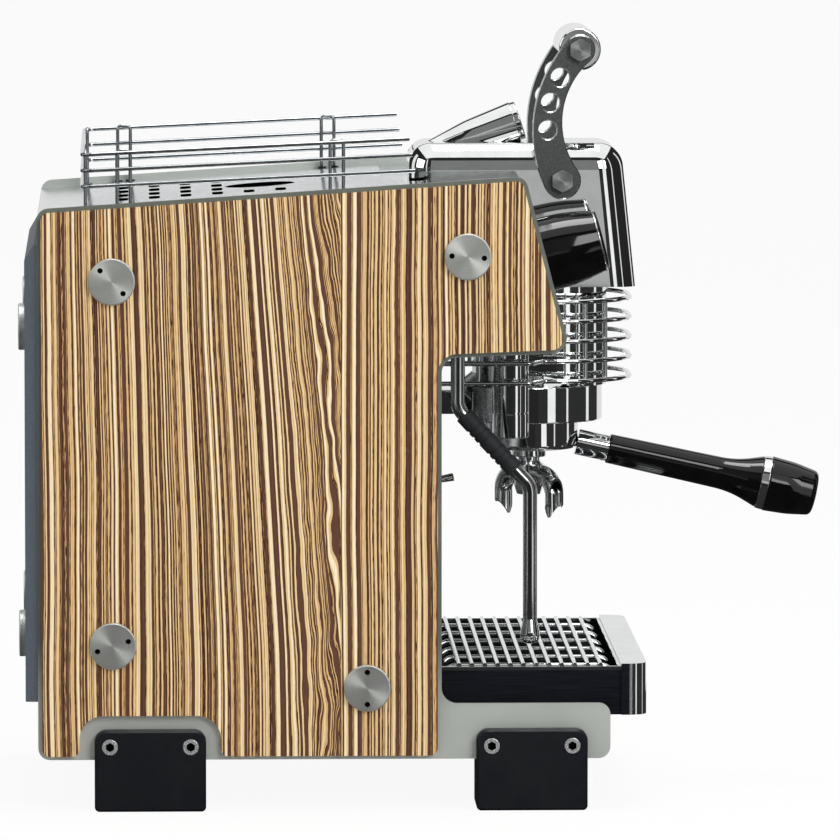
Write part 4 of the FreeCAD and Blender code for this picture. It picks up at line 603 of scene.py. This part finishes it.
# Painted reflection: the cap's flat sides take the black enamel tone and no metal, for the dark room their
# chrome would mirror.
side_painted_reflection = between(cap_chrome, facing(cap_chrome, "X"), 0.0, 1.0, start=0.985, end=0.999)
plated = cap_chrome.node_tree.nodes["Principled BSDF"].inputs["Base Color"].links[0].from_socket
feed(cap_chrome, "Base Color", mixed(cap_chrome, side_painted_reflection, plated, enamel_tone(cap_chrome)))
feed(cap_chrome, "Metallic", mixed(cap_chrome, side_painted_reflection, 1.0, 0.0, kind="FLOAT"))
dress(cap_chrome, "tray_front")


def box_strip(name, low, high):
    """Bar of four sides and two ends: a rectangle carried from the low end to the high end along Y."""
    corner = np.array([[low[0], low[2]], [high[0], low[2]], [high[0], high[2]], [low[0], high[2]]])
    ends = np.array([low[1], high[1]])
    points = np.stack([np.tile(corner[:, 0], (2, 1)), np.repeat(ends[:, None], 4, axis=1),
                       np.tile(corner[:, 1], (2, 1))], axis=-1)
    step = np.arange(4)
    sides = np.stack([step, (step + 1) % 4, (step + 1) % 4 + 4, step + 4], axis=-1)
    return flat_piece(name, points.reshape(-1, 3), sides.tolist() + [[3, 2, 1, 0], [4, 5, 6, 7]])


rim_clearance = 0.0005
front_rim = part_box("cup_grid")[0].y - cap_high.y - rim_clearance
rim_bars = {"tray_rim_front": (
    tray_low.x + rim_width, tray_high.x - rim_width, cap_high.y, cap_high.y + front_rim)}
for name, side in (("tray_rim_left", -1), ("tray_rim_right", 1)):
    wall = side * tray_high.x
    inner, outer = sorted((wall + side * rim_proud, wall - side * rim_width))
    rim_bars[name] = (inner, outer, cap_high.y, tray_high.y + rim_proud)
for name, (left, right, front, rear) in rim_bars.items():
    rim_top = tray_high.z + rim_proud
    rim = box_strip(name, (left, front, rim_top - rim_height), (right, rear, rim_top))
    soften = rim.modifiers.new("rolled_edge", "BEVEL")
    soften.width = rim_bevel
    soften.segments = 2
    rim.data.materials.append(grid_steel)
    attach(rim, "tray")

# Water side inside the case: tank on its shelf, boiler and its element, valves, pipes, pump and solenoid.
# Tank in translucent plastic, boiler and valves in brass, pump and solenoid in cast aluminium.

tank_plastic = new_finish("tank_plastic", {"Metallic": 0.0, "Transmission Weight": 0.6, "IOR": 1.49})
tank_haze = cloud(tank_plastic, (0.05, 0.05, 0.05), detail=3.0)
feed(tank_plastic, "Base Color", tones(tank_plastic, tank_haze, [(0.3, "#c9d3da"), (0.7, "#e0e8ec")]))
feed(tank_plastic, "Roughness", between(tank_plastic, tank_haze, 0.2, 0.34))
dress(tank_plastic, "water_tank")
brass = new_finish("plain_brass", {"Metallic": 1.0})
tarnish = cloud(brass, (0.05, 0.05, 0.05), detail=5.0)
feed(brass, "Base Color", tones(brass, tarnish, [(0.3, "#8a6336"), (0.5, "#bf9150"), (0.7, "#d2aa6a")]))
feed(brass, "Roughness", between(brass, tarnish, 0.24, 0.45))
dress(brass, "boiler", "heating_element", "valve_bodies", "pipework")
cast_metal = new_finish("cast_aluminium", {"Metallic": 0.9})
sand_grain = cloud(cast_metal, (0.9, 0.9, 0.9), detail=4.0)
feed(cast_metal, "Base Color", tones(cast_metal, sand_grain, [(0.3, "#7b7d7f"), (0.7, "#a6a8a9")]))
feed(cast_metal, "Roughness", between(cast_metal, sand_grain, 0.42, 0.6))
relief(cast_metal, sand_grain, 0.08)
dress(cast_metal, "pump", "solenoid_valve")

# Electrics: the control box on the side frame and the mains inlet in the rear cover.
# Moulded in black plastic with a fine spark-eroded grain.

box_plastic = new_finish("grained_black_plastic", {"Metallic": 0.0})
spark_grain = cloud(box_plastic, (1.8, 1.8, 1.8), detail=3.0)
feed(box_plastic, "Base Color", tones(box_plastic, spark_grain, [(0.3, "#141415"), (0.7, "#222324")]))
feed(box_plastic, "Roughness", between(box_plastic, spark_grain, 0.45, 0.6))
relief(box_plastic, spark_grain, 0.03)
dress(box_plastic, "control_box", "power_inlet")

# Studio: a wide pale floor, a white surround, and soft boxes over the machine and to its front and rear.
# Mirror metal sees a dim room instead, with pale cards round the machine and a bright ceiling over it.

floor_reach = 45.0
floor_drop = 0.0002
floor_glow = 0.93
floor_in_mirror = 0.03
surround_fill = 0.42
room_in_mirror = 0.02
ceiling_reach, ceiling_height = 2.2, 3.1
strip_low, strip_high, strip_reach = 0.001, 0.12, 0.6


def ray_kinds(holder):
    """Sockets for rays straight from the camera or through glass, and for rays off mirror metal."""
    path = add(holder, "ShaderNodeLightPath", {}).outputs
    straight = worked(holder, "MAXIMUM", path["Is Camera Ray"], path["Is Transmission Ray"])
    return straight, path["Is Glossy Ray"]


def sheet_piece(name, reach, height):
    """Level square sheet about the origin."""
    corners = np.array([[-1, -1, 0], [1, -1, 0], [1, 1, 0], [-1, 1, 0]]) * reach
    return flat_piece(name, corners + np.array([0, 0, height]), [[0, 1, 2, 3]])


floor = sheet_piece("studio_floor", floor_reach, -floor_drop)
floor_paint = bpy.data.materials.new("studio_floor_paint")
floor_paint.use_nodes = True
straight, mirrored = ray_kinds(floor_paint)
floor_matt = add(floor_paint, "ShaderNodeBsdfDiffuse", {"Color": shade("#eeeeec")})
floor_level = between(floor_paint, mirrored, 1.0, floor_in_mirror, 0.0, 1.0)
floor_white = add(floor_paint, "ShaderNodeEmission", {"Color": (1, 1, 1, 1), "Strength": floor_level})
floor_share = worked(floor_paint, "MULTIPLY", straight, floor_glow)
floor_share = worked(floor_paint, "MAXIMUM", floor_share, mirrored)
floor_mix = add(floor_paint, "ShaderNodeMixShader", {
    0: floor_share, 1: floor_matt.outputs[0], 2: floor_white.outputs[0]})
floor_tree = floor_paint.node_tree
floor_tree.links.new(floor_mix.outputs[0], floor_tree.nodes["Material Output"].inputs["Surface"])
floor.data.materials.append(floor_paint)
floor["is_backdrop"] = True

world = bpy.data.worlds.new("white_studio")
world.use_nodes = True
bpy.context.scene.world = world
surround = world.node_tree.nodes["Background"]
surround.inputs["Color"].default_value = (1, 1, 1, 1)
straight, mirrored = ray_kinds(world)
level = between(world, straight, surround_fill, 1.0, 0.0, 1.0)
level = mixed(world, mirrored, level, room_in_mirror, kind="FLOAT")
world.node_tree.links.new(level, surround.inputs["Strength"])


def show_in_mirrors(card, brightness):
    """Make a sheet glow evenly, for mirror metal alone."""
    card.visible_camera = False
    card.visible_diffuse = False
    card.visible_shadow = False
    card.visible_transmission = False
    paper = bpy.data.materials.new(card.name)
    paper.use_nodes = True
    glow = add(paper, "ShaderNodeEmission", {"Color": (1, 1, 1, 1), "Strength": brightness})
    paper.node_tree.links.new(glow.outputs[0], paper.node_tree.nodes["Material Output"].inputs["Surface"])
    card.data.materials.append(paper)
    card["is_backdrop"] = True


def curved_card(name, start, end, low, high, reach=1.1, steps=25):
    """Part of an upright cylinder about the machine; angles run from the camera round to the front."""
    turn = np.radians(np.linspace(start, end, steps))[:, None]
    heights = np.array([low, high])
    points = np.stack(np.broadcast_arrays(-reach * np.cos(turn), -reach * np.sin(turn), heights), -1)
    index = np.arange(2 * steps).reshape(steps, 2)
    faces = np.stack([index[:-1, 0], index[1:, 0], index[1:, 1], index[:-1, 1]], axis=-1)
    return flat_piece(name, points.reshape(-1, 3), faces.tolist())


for name, start, end, low, high, brightness in (
        ("card_low", -22, 16, 0.02, 0.24, 0.02), ("card_behind_camera", -22, 16, 0.24, 0.42, 0.45),
        ("card_over_camera", -22, 16, 0.42, 1.3, 0.2), ("panel_by_key", 30, 42, 0.02, 1.3, 1.0),
        ("strip_by_key", 60, 63, 0.02, 1.3, 0.9), ("strip_rear_near", -40, -36, 0.02, 1.3, 0.9),
        ("strip_rear", -98, -84, 0.02, 1.3, 0.9), ("strip_front", 98, 104, 0.02, 1.3, 0.9),
        ("panel_far", 130, 230, 0.02, 1.0, 0.8)):
    show_in_mirrors(curved_card(name, start, end, low, high), brightness)
for name, start, end, brightness in (
        ("low_strip_near", 44, 49, 1.0), ("low_strip_front", 82, 86, 0.8), ("low_panel_far", 125, 178, 0.85)):
    show_in_mirrors(curved_card(name, start, end, strip_low, strip_high, reach=strip_reach), brightness)
show_in_mirrors(sheet_piece("ceiling", ceiling_reach, ceiling_height), 1.0)


def soft_box(name, place, aim, size, watts):
    """Square area lamp that looks at a point."""
    lamp = bpy.data.lights.new(name, "AREA")
    lamp.size = size
    lamp.energy = watts
    holder = bpy.data.objects.new(name, lamp)
    holder.location = place
    holder.rotation_euler = (Vector(aim) - Vector(place)).to_track_quat("-Z", "Y").to_euler()
    bpy.context.scene.collection.objects.link(holder)


middle = (0.0, 0.0, 0.22)
soft_box("key_box", (-3.0, -1.6, 1.9), middle, 1.8, 68.0)
soft_box("top_box", (0.0, -0.2, 3.0), middle, 1.2, 42.0)
soft_box("rear_box", (-1.6, 3.2, 1.8), middle, 1.8, 20.0)

lens = bpy.data.cameras.new("photo_lens")
lens.lens = 397.2
lens.sensor_width = 36.0
lens.clip_end = 120.0
camera = bpy.data.objects.new("photo_camera", lens)
camera.location = (-5.85, 0.180, 0.745)
aim = Vector((-0.15, 0.0048, 0.2430))
camera.rotation_euler = (aim - camera.location).to_track_quat("-Z", "Y").to_euler()
bpy.context.scene.collection.objects.link(camera)
bpy.context.scene.camera = camera
bpy.context.scene.view_settings.view_transform = "Standard"

low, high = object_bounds()
